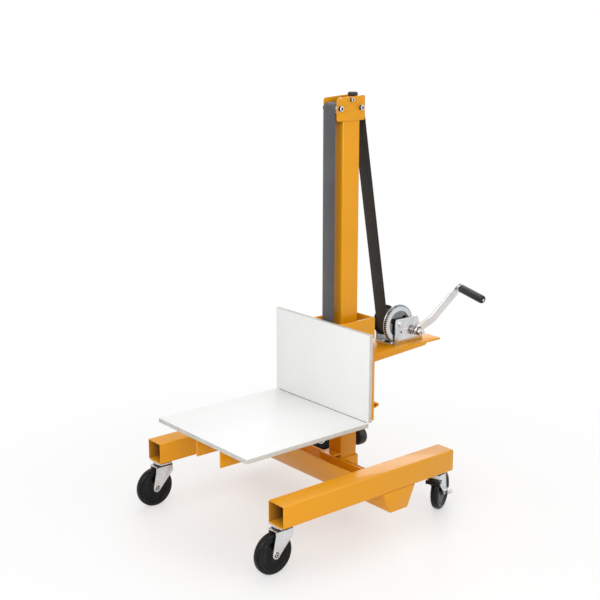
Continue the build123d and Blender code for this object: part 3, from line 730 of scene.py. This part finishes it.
def buildBoards():
    for node, wide in (("platform", 2), ("backboard", 1)):
        piece = softened(node, node + "_board", [board, boardEdgeAndShade], boardSize["ease"] * mm,
                         pick=lambda poly: 0 if abs(poly.normal[wide]) > boardSize["faceFrom"] else 1)
        if node == "platform":
            piece = joined(node + "_board", [piece, shadowGapStrip()])
        settle(piece, "carriage", "white_board", node)


# Strap: one band over both rollers and onto the drum
strap = dict(width=0.047, thick=0.0025, gap=0.0003, wrapR=0.0335, pitch=0.003, turns=4, corner=0.0009,
             cornerCut=0.3, step=0.006, bend=12, between=8, halfTurn=20)


def pointsBetween(start, end, count):
    # The points that part a straight run into count steps, without its ends
    return [(start[0] + (end[0] - start[0]) * k / count, start[1] + (end[1] - start[1]) * k / count)
            for k in range(1, count)]


def strapRoute():
    # Middle line in (y, z): over the rollers, down to the drum, and the turns on it
    low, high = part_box("head_roller_front")
    rideR = (high.z - low.z) / 2 + strap["gap"] + strap["thick"] / 2
    front = jointAt["head_roller_front_turn"]
    rear = jointAt["head_roller_rear_turn"]
    drum = jointAt["drum_turn"]
    wrapR = strap["wrapR"]
    dy, dz = drum.y - rear.y, drum.z - rear.z
    slope = math.atan2(dz, dy) - math.asin((rideR + wrapR) / math.hypot(dy, dz))
    left = math.degrees(slope) + 90
    route = arcPoints(front.y, front.z, rideR, 180, 90, strap["bend"])
    route += pointsBetween((front.y, front.z + rideR), (rear.y, front.z + rideR), strap["between"])
    route += arcPoints(rear.y, rear.z, rideR, 90, left, strap["bend"])
    meet = (drum.y + wrapR * math.sin(slope), drum.z - wrapR * math.cos(slope))
    route += pointsBetween(route[-1], meet, round(math.dist(route[-1], meet) / strap["step"]))
    cy, cz = drum.y, drum.z
    start = left + 180
    for half in range(2 * strap["turns"]):
        r = wrapR - half * strap["pitch"] / 2
        turn = arcPoints(cy, cz, r, start, start + 180, strap["halfTurn"])
        route += turn[1:] if half else turn
        cy -= strap["pitch"] / 2 * math.cos(math.radians(start))
        cz -= strap["pitch"] / 2 * math.sin(math.radians(start))
        start += 180
    return route, rideR, front


def bandMesh(name, route, mats, litRun=0):
    # A band with rounded edges along (y, z) points, with its own map in centimetres
    half, thin, r = strap["width"] / 2, strap["thick"] / 2, strap["corner"]
    cut = strap["cornerCut"] * r
    right = [(half - r, thin), (half - cut, thin - cut), (half, thin - r), (half, -thin + r),
             (half - cut, -thin + cut), (half - r, -thin)]
    section = right + [(-x, n) for x, n in reversed(right)]
    count = len(section)
    rows = []
    lengths = [0.0]
    for i, (y, z) in enumerate(route):
        before = route[max(i - 1, 0)]
        after = route[min(i + 1, len(route) - 1)]
        run = math.dist(before, after)
        ny, nz = -(after[1] - before[1]) / run, (after[0] - before[0]) / run
        rows.append([(x, y + n * ny, z + n * nz) for x, n in section])
        if i:
            lengths.append(lengths[-1] + math.dist(route[i - 1], (y, z)))
    obj = rowsMesh(name, rows, mats, angle=50)
    # The first rows, over the front roller up to its crest, take the lit copy of the webbing: painted light
    for poly in obj.data.polygons[:litRun * count]:
        poly.material_index = 1
    layer = obj.data.uv_layers.new(name="bandMap")
    for loop in obj.data.loops:
        row, k = divmod(loop.vertex_index, count)
        layer.data[loop.index].uv = (section[k][0] * 100, lengths[row] * 100)
    return obj


def buildStrap():
    route, rideR, front = strapRoute()
    # The rear run in the shaded copy of the webbing, its start over the front roller in the lit copy
    back = bandMesh("strap_back_band", route, [shadedWebbing, litWebbing], strap["bend"])
    settle(back, "base", "webbing", "strap_back", "strap_winding")
    low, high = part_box("strap_front")
    y = front.y - rideR
    count = round((high.z - low.z) / strap["step"])
    run = [(y, low.z + (high.z - low.z) * k / count) for k in range(count + 1)]
    face = bandMesh("strap_front_band", run, [litWebbing])
    settle(face, "base", "webbing", "strap_front")
    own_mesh(face)


# Casters: wheel, fork and axle at each corner; profiles as (along the axle, radius), outlines as (y, z),
# arcs as (start, end, steps)
wheelSize = dict(shoulderAt=(0.003, 0.047), shoulderR=0.008, shoulderArc=(90, 20, 6), hubR=0.037,
                 side=[(0.011, 0.0465), (0.0104, 0.043), (0.0088, 0.0415), (0.0088, 0.039), (0.0102, 0.0378),
                       (0.0102, 0.037), (0.009, 0.0345), (0.0075, 0.027), (0.0078, 0.019), (0.010, 0.0142),
                       (0.0117, 0.013), (0.0125, 0.012), (0.0125, 0.0052)])
forkSize = dict(half=0.016, sheet=0.003, ease=0.0006, trail=0.026, axleZ=0.055, axleR=0.0049, endR=0.0115,
                cheekTop=[(-0.027, 0.1136), (-0.025, 0.1156), (0.025, 0.1156), (0.027, 0.1136),
                          (0.0276, 0.1036)], cheekFoot=[(-0.024, 0.0915), (-0.027, 0.094)],
                crown=(-0.027, 0.027, 0.112, 0.1156), skirt=(-0.027, -0.025, 0.1005, 0.113), skirtHalf=0.014,
                skirtEase=0.0005, pinAt=(-0.019, 0.097), pinEnd=[(0.0196, 0.0029), (0.0200, 0.0022)],
                nutR=0.0098, nutFrom=0.005, nutTo=0.015, nutEase=0.0010, nutArc=(30, 330, 5),
                endArc=(8, -158, 14))
axleEnds = dict(grooveR={0.0048, 0.0072}, sunkR=0.0026,
                rivet=[(0, 0.0080), (0.0012, 0.0072), (0.0013, 0.0048), (0.0026, 0.0046), (0.0030, 0.0040),
                       (0.0030, 0.0026), (0.0020, 0.0024), (0.0020, pinpoint)],
                stud=[(0, 0.0080), (0.0048, 0.0080), (0.0052, 0.0076), (0.0056, 0.0048), (0.0188, 0.0048),
                      (0.0200, 0.0038), (0.0200, pinpoint)])


def buildWheels():
    w = wheelSize
    side = arcPoints(*w["shoulderAt"], w["shoulderR"], *w["shoulderArc"]) + w["side"]
    profile = side + [(-a, r) for a, r in reversed(side)]
    for corner in corners:
        place = turnedTo(jointAt["roll_" + corner], jointAxis["roll_" + corner])
        turned("caster_wheel_" + corner, "wheel_" + corner, "black_rubber", profile, place, [tyre, hub],
               steps=72, closed=True, bandMat=lambda band: int(profile[band][1] < w["hubR"]), angle=38)


def axleProfile(corner):
    # Flat rivet ends, and on the outer side of the rear ones a spacer and a stud through a nut
    f = forkSize
    inner = f["half"] - f["sheet"]
    left, right = [axleEnds["stud" if corner == "rear_" + side else "rivet"] for side in ("left", "right")]
    return ([(-f["half"] - a, r) for a, r in reversed(left)] + [(-inner, f["axleR"]), (inner, f["axleR"])]
            + [(f["half"] + a, r) for a, r in right])


def rivetShadeBand(r0, r1):
    # 1 in the groove round a rivet and in its sunk centre, which take painted shade
    return int(max(r0, r1) <= axleEnds["sunkR"] or {r0, r1} == axleEnds["grooveR"])


def rearFork(place, across, side):
    # What only the rear forks have: a nut on the stud, a plate between the cheeks and the brake's pin
    f = forkSize
    nut = plate("nut", arcPoints(0, 0, f["nutR"], *f["nutArc"]), side * (f["half"] + f["nutFrom"]),
                side * (f["half"] + f["nutTo"]), across, [zinc], f["nutEase"])
    skirt = plate("skirt", oblong(*f["skirt"]), -f["skirtHalf"], f["skirtHalf"], place, [zinc],
                  f["skirtEase"])
    pin = lathe("pin", bothEnds(f["pinEnd"]), place @ along(*f["pinAt"]), [zinc], steps=20)
    return [nut, skirt, pin]


def buildForks():
    f = forkSize
    inner = f["half"] - f["sheet"]
    cheek = f["cheekTop"] + arcPoints(f["trail"], f["axleZ"], f["endR"], *f["endArc"]) + f["cheekFoot"]
    for corner in corners:
        pivot = jointAt["swivel_" + corner]
        axle = jointAt["roll_" + corner]
        trailing = Vector((axle.x - pivot.x, axle.y - pivot.y, 0)).normalized()
        place = turnedTo((pivot.x, pivot.y, 0), trailing.cross(Vector((0, 0, 1))))
        across = place @ along(f["trail"], f["axleZ"])
        parts = [plate("cheek", cheek, side * f["half"], side * inner, place, [zinc], f["ease"])
                 for side in (-1, 1)]
        parts.append(plate("crown", oblong(*f["crown"]), -f["half"], f["half"], place, [zinc], f["ease"]))
        line = axleProfile(corner)
        parts.append(lathe("axle", line, across, [zinc, blackAndShade], steps=32, angle=30,
                           bandMat=lambda band: rivetShadeBand(line[band][1], line[band + 1][1])))
        if corner.startswith("rear"):
            parts += rearFork(place, across, 1 if corner.endswith("right") else -1)
        piece = joined("caster_fork_" + corner + "_pressed", parts)
        settle(piece, "fork_" + corner, "zinc", "caster_fork_" + corner)


# Caster plates and brake bars, with their eased edges in millimetres
casterEase = dict(plates=0.6, bar=1.2, raceShadeTop=0.1209, raceShadeWallTo=0.7)


def buildCasterFittings():
    # The walls of the swivel races are dark: painted shade between the plates and the fork crowns
    c = casterEase
    easedCopy("caster_plates", "base", "zinc", [zinc, blackAndShade], c["plates"],
              pick=lambda poly: int(poly.center.z < c["raceShadeTop"] and abs(poly.normal.z) < c["raceShadeWallTo"]))
    for corner in corners[2:]:
        easedCopy("brake_bar_" + corner, "brake_" + corner, "black_plastic", [hub], c["bar"])


# Head: through bolts with sunk centres, rollers and knob; washer, nut and sunk centre in rod radii
# Its dark bands are painted shade in the sunk centres and a painted dark reflection on the nuts' sides
headBolt = dict(start=0.0265, out=0.0275, washerHigh=0.0012, high=0.008, sunk=0.0034, ease=0.0006,
                washer=2.0, nut=1.7, sunkTop=0.85, sunkFoot=0.8, roller=0.004, tie=0.003, tieBack=0.039,
                tieUp=0.022, closeR=0.0004,
                dark=(0, 1, 4))  # bands from either end: sunk floor, its wall, the nut's side
headKnob = dict(stemBands=3,
                profile=[(1.1197, 0.0030), (1.1239, 0.0030), (1.1239, 0.0060), (1.1257, 0.0062),
                         (1.1260, 0.0104), (1.1268, 0.0124), (1.1288, 0.0135), (1.1340, 0.0135),
                         (1.1359, 0.0127), (1.1371, 0.0108), (1.1375, 0.0085), (1.1375, pinpoint)])
rollerSize = dict(headBore=0.00405, guideBore=0.00505, ease=0.0008)


def boltProfile(r):
    b = headBolt
    out = b["out"]
    step = out + b["washerHigh"]
    top = out + b["high"]
    floor = top - b["sunk"]
    washer, nut = b["washer"] * r, b["nut"] * r
    return bothEnds([(b["start"], r), (out, r), (out, washer), (step, washer), (step, nut),
                     (top - b["ease"], nut), (top, nut - b["ease"]), (top, b["sunkTop"] * r),
                     (floor, b["sunkFoot"] * r), (floor, b["closeR"])])


def buildHead():
    b = headBolt
    front = jointAt["head_roller_front_turn"]
    spots = [(front, b["roller"]), (jointAt["head_roller_rear_turn"], b["roller"]),
             (front + Vector((0, b["tieBack"], b["tieUp"])), b["tie"])]
    parts = []
    for spot, r in spots:
        profile = boltProfile(r)
        parts.append(lathe("bolt", profile, along(spot.y, spot.z), [zinc, blackAndShade], steps=28,
                           bandMat=lambda band: int(min(band, len(profile) - 2 - band) in b["dark"])))
    settle(joined("head_bolts_turned", parts), "base", "zinc", "head_bolts")
    place = turnedTo((0, jointAt["head_knob_turn"].y, 0), (0, 0, 1), (1, 0, 0))
    turned("head_knob", "head_knob", "black_plastic", headKnob["profile"], place, [knobPlastic, zinc],
           steps=40, bandMat=lambda band: int(band < headKnob["stemBands"]), angle=45)


def buildRollers():
    s = rollerSize
    for node in ("head_roller_front", "head_roller_rear", "guide_roller_low", "guide_roller_high"):
        boreR, mat, slot = (s["guideBore"], knobPlastic, "black_plastic")
        if node.startswith("head"):
            boreR, mat, slot = (s["headBore"], zinc, "zinc")
        low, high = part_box(node)
        profile = ring(-high.x, high.x, (high.z - low.z) / 2, boreR, s["ease"])
        turned(node, node, slot, profile, acrossAt(node + "_turn"), [mat], closed=True)


# Clamp knob behind the mast foot
clampKnob = dict(headDeep=0.041, rodR=0.006, rodTipR=0.0055, rodEase=0.0006,
                 head=[(0, 0.0115), (0.0005, 0.012), (0.012, 0.012), (0.0125, 0.019), (0.0135, 0.0235),
                       (0.016, 0.0262), (0.020, 0.027), (0.033, 0.027), (0.0375, 0.0258), (0.0400, 0.0225),
                       (0.041, 0.018), (0.041, 0.0095), (0.0398, 0.008), (0.0398, pinpoint)])


def buildClampKnob():
    c = clampKnob
    low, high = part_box("mast_clamp_knob")
    seat = high.y - c["headDeep"]
    profile = [(low.y, pinpoint), (low.y, c["rodTipR"]), (low.y + c["rodEase"], c["rodR"]),
               (seat, c["rodR"])]
    profile += [(seat + a, r) for a, r in c["head"]]
    place = turnedTo((0, 0, (low.z + high.z) / 2), (0, 1, 0))
    turned("mast_clamp_knob", "clamp_knob", "black_plastic", profile, place, [knobPlastic], angle=45)


# Carriage fittings: axles with painted ends, strap clamp and screws
carriageAxle = dict(rodR=0.005, spacerR=0.008, spacerFrom=0.028, spacerTo=0.050, out=0.055,
                    cap=[(0, 0.0078), (0.0024, 0.0076), (0.0037, 0.0056), (0.004, pinpoint)])
strapClampEase = 0.6
screw = dict(dome=[(0, pinpoint), (0, 0.005), (0.0009, 0.005), (0.0020, 0.0043), (0.0028, 0.0025),
                   (0.003, pinpoint)],
             backX=0.160, backUp=0.030, backDown=0.018, deckX=0.125, deckAt=(0.090, 0.310))


def buildCarriageFittings():
    c = carriageAxle
    rod = [(c["spacerFrom"], c["rodR"]), (c["spacerFrom"], c["spacerR"]), (c["spacerTo"], c["spacerR"]),
           (c["spacerTo"], c["rodR"]), (c["out"], c["rodR"])]
    cap = [(c["out"] + a, r) for a, r in c["cap"]]
    parts = []
    for joint, end in (("guide_roller_low_turn", cap), ("guide_roller_high_turn", [(c["out"], pinpoint)])):
        profile = bothEnds(rod + end)
        parts.append(lathe("axle", profile, acrossAt(joint), [zinc, paint], steps=32,
                           bandMat=lambda band: int(min(band, len(profile) - 2 - band) < len(end))))
    settle(joined("carriage_axles_turned", parts), "carriage", "zinc", "carriage_axles")
    easedCopy("strap_clamp", "carriage", "zinc", [zinc], strapClampEase)
    s = screw
    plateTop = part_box("back_plate")[1]
    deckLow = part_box("platform")[0]
    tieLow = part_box("cross_ties")[0]
    heads = []
    for side in (-1, 1):
        for z in (deckLow.z + s["backUp"], plateTop.z - s["backDown"]):
            heads.append(turnedTo((side * s["backX"], plateTop.y, z), (0, 1, 0)))
        for far in s["deckAt"]:
            heads.append(turnedTo((side * s["deckX"], deckLow.y + far, tieLow.z), (0, 0, -1), (1, 0, 0)))
    parts = [lathe("screw", s["dome"], head, [zinc], steps=20, angle=50) for head in heads]
    settle(joined("board_screws_turned", parts), "carriage", "zinc", "board_screws")


# Winch: frame, drum and the large gear
winchEase = dict(frame=0.6, small=0.25)
frameBolt = dict(acrossX=0.018, fromFront=0.009, fromRear=0.012, floor=0.003,
                 size={"Washer Radius": 0.0056, "Washer Height": 0.0006, "Head Radius": 0.0055,
                       "Head Height": 0.0020, "Stud Radius": 0.0028, "Stud Height": 0.0004})
drumSize = dict(left=-0.0276, inLeft=-0.0251, inRight=0.0251, right=0.0271, end=0.0285, leftR=0.044,
                rightR=0.055, coreR=0.019, boreR=0.00605, lip=0.0006,
                dark=(2, 3, 4, 10))  # bands: rim and inside of the left flange, outside of the right one
drumBolt = dict(out=0.041, end=[(-0.001, 0.006), (0, 0.006), (0, 0.0085), (0.0033, 0.0085),
                                (0.0045, 0.0071), (0.0045, pinpoint)])
gearSize = dict(teeth=60, x0=0.0285, x1=0.0345, root=0.05049, tip=0.054075, rootWide=0.0036, tipWide=0.00146,
                rim=0.038, dish=0.0025, boss=0.013, boreR=0.00605, ease=0.0004, slope=0.0006, phase=-25,
                holes=3, holeTurn=60, holeR=0.008, holeAt=0.026, past=0.002, sunk=0.0004, flankShadeTo=0.5,
                finish={1: 1, 4: 1, 5: 2, 6: 1, 9: 1})  # root, dish walls and bore in near-black painted shade, the dish floor in a grey painted shade


def gearBody():
    # The wheel without its teeth: a dished disc with holes through the web
    g = gearSize
    x0, x1, e = g["x0"], g["x1"], g["ease"]
    floor = x1 - g["dish"]
    profile = [(x0, g["boreR"]), (x0, g["root"]), (x1, g["root"]), (x1, g["rim"] + e), (x1 - e, g["rim"]),
               (floor, g["rim"] - g["slope"]), (floor, g["boss"] + g["slope"]), (x1 - e, g["boss"]),
               (x1, g["boss"] - e), (x1, g["boreR"])]
    body = lathe("gearBody", profile, acrossAt("drum_turn"), [zinc, blackAndShade, dishShade], steps=120, closed=True,
                 bandMat=lambda band: g["finish"].get(band, 0))
    # Holes through the web, whose walls take the near-black painted shade
    drill = [(x0 - g["past"], g["holeR"]), (x1 + g["past"], g["holeR"])]
    cutters = []
    for k in range(g["holes"]):
        a = math.radians(g["phase"] + g["holeTurn"] + 360 * k / g["holes"])
        spot = acrossAt("drum_turn") @ along(g["holeAt"] * math.cos(a), g["holeAt"] * math.sin(a))
        cutters.append(lathe("cutter", drill, spot, [zinc, blackAndShade], steps=32, bandMat=lambda band: 1))
    cutter = joined("cutters", cutters)
    cut = body.modifiers.new("webHoles", "BOOLEAN")
    cut.operation = "DIFFERENCE"
    cut.solver = "EXACT"
    cut.object = cutter
    baked(body)
    bpy.data.objects.remove(cutter)
    return body


def buildGear():
    g = gearSize
    teeth = addMesh("teeth", [], [], [zinc])
    runTree(teeth, toothTree, toothIds, {
        "Teeth": g["teeth"], "Root Radius": g["root"] - g["sunk"], "Reach": g["tip"] - g["root"] + g["sunk"],
        "Root Width": g["rootWide"], "Tip Width": g["tipWide"], "Thickness": g["x1"] - g["x0"],
        "Finish": zinc})
    # Painted shade on the flanks, so the gaps between the teeth read as gaps
    teeth.data.materials.append(blackAndShade)
    for poly in teeth.data.polygons:
        out = Vector((poly.center.x, poly.center.y, 0)).normalized()
        if max(abs(poly.normal.z), abs(poly.normal.dot(out))) < g["flankShadeTo"]:
            poly.material_index = len(teeth.data.materials) - 1
    aboutX = Matrix(((0, 0, 1), (1, 0, 0), (0, 1, 0))).to_4x4()
    turn = Matrix.Rotation(math.radians(g["phase"]), 4, "Z")
    middle = Matrix.Translation(((g["x0"] + g["x1"]) / 2, 0, 0))
    teeth.data.transform(acrossAt("drum_turn") @ middle @ aboutX @ turn)
    settle(joined("drum_gear_cut", [gearBody(), teeth]), "drum", "zinc", "drum_gear")


def buildWinch():
    easedCopy("winch_frame", "base", "zinc", [zinc], winchEase["frame"], "_folded")
    low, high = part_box("winch_frame")
    b = frameBolt
    points = [(x, y, low.z + b["floor"]) for x in (-b["acrossX"], b["acrossX"])
              for y in (low.y + b["fromFront"], high.y - b["fromRear"])]
    heads = runTree(addMesh("winch_bolts_set", points, [], [zinc]), boltTree, boltIds,
                    b["size"] | {"Finish": zinc})
    settle(heads, "base", "zinc", "winch_bolts")
    d = drumSize
    place = acrossAt("drum_turn")
    profile = [(d["left"], d["boreR"])] + ring(d["left"], d["inLeft"], d["leftR"], d["coreR"], d["lip"])[1:]
    profile += ring(d["inRight"], d["right"], d["rightR"], d["coreR"], d["lip"])
    profile += [(d["end"], d["coreR"]), (d["end"], d["boreR"])]
    turned("drum", "drum", "zinc", profile, place, [zinc, blackAndShade], steps=72, closed=True,
           bandMat=lambda band: int(band in d["dark"]))
    half = [(drumBolt["out"] + a, r) for a, r in drumBolt["end"]]
    turned("drum_axle", "base", "zinc", bothEnds(half), place, [zinc], steps=36)
    buildGear()
    for node, body in (("pinion_shaft", "crank"), ("ratchet_wheel", "crank"), ("pawl", "pawl"),
                       ("pawl_mount", "base")):
        easedCopy(node, body, "zinc", [zinc], winchEase["small"])


# Crank: brake stack, bent bar and grip
stack = dict(collar=(0.0414, 0.0480), collarR=0.011, ridges=4, ridgeDeep=0.0009,
             ridgeAt=(0, 0.25, 0.75, 0.98), washers=((0.048, 0.052, 0.013), (0.059, 0.061, 0.012)),
             washerEase=0.0003, shaftR=0.006, nutEase=0.8)
crankBar = dict(half=0.013, tipShort=0.0004, thin=0.0034, ease=0.0009, easeMost=0.4, hubX=0.0555,
                bends=((0.014, 0.0555), (0.046, 0.0773)), soft=0.010, softSteps=8, faceBack=0.0035,
                ends=(0.0003, 0.0010, 0.0021, 0.0038, 0.0060, 0.0090, 0.0130))
gripPin = dict(capBands=range(12, 16),
               profile=[(-0.0124, pinpoint), (-0.0124, 0.0056), (-0.0114, 0.0068), (-0.0072, 0.0073),
                        (-0.0068, 0.0073), (-0.0068, 0.0050), (0.0, 0.0050), (0.0, 0.0076), (0.0004, 0.0080),
                        (0.0078, 0.0080), (0.0082, 0.0076), (0.0082, 0.0050), (0.1064, 0.0050),
                        (0.1066, 0.0068), (0.1078, 0.0070), (0.1085, 0.0062), (0.1085, 0.0034),
                        (0.1089, 0.0030), (0.1090, pinpoint)])
gripProfile = [(0.0084, 0.00505), (0.0084, 0.0100), (0.0090, 0.0111), (0.0109, 0.0118), (0.0940, 0.0118),
               (0.1015, 0.0116), (0.1044, 0.0106), (0.1057, 0.0088), (0.1060, 0.0078), (0.1060, 0.00505)]


def endWidth(s):
    # Half width of the bar's round end, at s from its tip
    half = crankBar["half"]
    return math.sqrt(half ** 2 - (half - s) ** 2)


def crankStations():
    # Middle line of the bar as (out along the arm, x) with the half width there; round ends, soft bends
    c = crankBar
    hubAt = jointAt["crank_turn"]
    gripAt = jointAt["grip_spin"]
    length = math.hypot(gripAt.y - hubAt.y, gripAt.z - hubAt.z)
    first, second = [Vector(bend) for bend in c["bends"]]
    slope = (gripAt.x - c["faceBack"] - second.y) / (length - second.x)
    reach = length + c["half"] - c["tipShort"]
    tip = Vector((reach, second.y + (reach - second.x) * slope))
    knees = [Vector((-c["half"], c["hubX"])), first, second, tip]
    line = [(s - c["half"], c["hubX"], endWidth(s)) for s in c["ends"]]
    for before, knee, after in zip(knees, knees[1:], knees[2:]):
        start = knee + (before - knee).normalized() * c["soft"]
        end = knee + (after - knee).normalized() * c["soft"]
        for k in range(c["softSteps"] + 1):
            t = k / c["softSteps"]
            p = start * (1 - t) ** 2 + knee * 2 * t * (1 - t) + end * t ** 2
            line.append((p.x, p.y, c["half"]))
    back = (second - tip).normalized()
    for s in reversed(c["ends"]):
        p = tip + back * s
        line.append((p.x, p.y, endWidth(s)))
    return line, hubAt, math.atan2(gripAt.z - hubAt.z, gripAt.y - hubAt.y)


def crankMesh():
    c = crankBar
    line, hubAt, angle = crankStations()
    out = Vector((0, math.cos(angle), math.sin(angle)))
    side = Vector((0, -math.sin(angle), math.cos(angle)))
    rows = []
    for i, (r, x, wide) in enumerate(line):
        before, after = line[max(i - 1, 0)], line[min(i + 1, len(line) - 1)]
        run = Vector((after[0] - before[0], after[1] - before[1])).normalized()
        normal = out * -run.y + Vector((run.x, 0, 0))
        middle = Vector((x, hubAt.y, hubAt.z)) + out * r
        e = min(c["ease"], wide * c["easeMost"])
        h = c["thin"]
        right = [(wide - e, h), (wide, h - e), (wide, e - h), (wide - e, -h)]
        section = right + [(-w, n) for w, n in reversed(right)]
        rows.append([middle + side * w + normal * n for w, n in section])
    return rowsMesh("crank_arm_bent", rows, [armSteel], angle=40)


def buildCrank():
    s = stack
    place = acrossAt("crank_turn")
    x0, x1 = s["collar"]
    ridge = (x1 - x0) / s["ridges"]
    low, high = s["collarR"] - s["ridgeDeep"], s["collarR"]
    profile = [(x0, s["shaftR"])]
    for k in range(s["ridges"]):
        profile += [(x0 + (k + share) * ridge, r) for share, r in zip(s["ridgeAt"], (low, high, high, low))]
    profile.append((x1, s["shaftR"]))
    turned("crank_collar", "crank", "zinc", profile, place, [zinc], closed=True, angle=25)
    # The washers' dark bronze is partly painted shade between collar, arm and nut
    parts = [lathe("washer", ring(a, b, r, s["shaftR"], s["washerEase"]), place, [bronze], closed=True)
             for a, b, r in s["washers"]]
    settle(joined("friction_washers_turned", parts), "crank", "bronze", "friction_washers")
    easedCopy("crank_nut", "crank", "zinc", [zinc], s["nutEase"])
    settle(crankMesh(), "crank", "zinc", "crank_arm")
    place = turnedTo(jointAt["grip_spin"], jointAxis["grip_spin"])
    turned("grip_pin", "crank", "zinc", gripPin["profile"], place, [zinc, knobPlastic], steps=32,
           bandMat=lambda band: int(band in gripPin["capBands"]))
    turned("grip", "grip", "black_rubber", gripProfile, place, [gripRubber], closed=True, angle=45)


# Weld beads where the frame's pieces meet
welds = dict(troughR=0.0013, footR=0.0017, shelfR=0.0017, pitch=0.0016, least=0.82, most=1.15, seed=11,
             sideIn=0.0016, frontIn=0.0145, rearIn=0.0015, out=0.0005, footTop=0.116, shelfIn=0.002)


def weld(name, lines, radius, seed):
    verts = []
    edges = []
    for line in lines:
        edges += [(len(verts) + i, len(verts) + i + 1) for i in range(len(line) - 1)]
        verts += line
    return runTree(addMesh(name, verts, [], [weldPaint], edges), weldTree, weldIds, {
        "Bead Radius": radius, "Pitch": welds["pitch"], "Least": welds["least"], "Most": welds["most"],
        "Seed": seed, "Finish": weldPaint})


def buildWelds():
    w = welds
    low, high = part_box("base_trough")
    legLow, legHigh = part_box("leg_right")
    mastLow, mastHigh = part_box("mast")
    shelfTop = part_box("winch_shelf")[1].z + w["out"]
    lines = []
    for side in (-1, 1):
        x = side * (legHigh.x - w["sideIn"])
        lines.append([(x, low.y + w["frontIn"], legLow.z), (x, high.y - w["rearIn"], legLow.z)])
    trough = weld("troughBeads", lines, w["troughR"], w["seed"])
    x0, x1 = mastLow.x - w["out"], mastHigh.x + w["out"]
    y0, y1 = mastLow.y - w["out"], mastHigh.y + w["out"]
    z = w["footTop"] + w["out"]
    foot = weld("footBead", [[(x0, y0, z), (x1, y0, z), (x1, y1, z), (x0, y1, z), (x0, y0, z)]], w["footR"],
                w["seed"] + 1)
    run = [(x, y1, shelfTop) for x in (mastLow.x + w["shelfIn"], mastHigh.x - w["shelfIn"])]
    shelf = weld("shelfBead", [run], w["shelfR"], w["seed"] + 2)
    settle(joined("weld_beads", [trough, foot, shelf]), "base", "yellow_paint")


for build in (buildPainted, buildBoards, buildStrap, buildWheels, buildForks, buildHead, buildRollers,
              buildClampKnob, buildCarriageFittings, buildWinch, buildCrank, buildCasterFittings,
              buildWelds):
    build()
    print("stage:", build.__name__, "done")
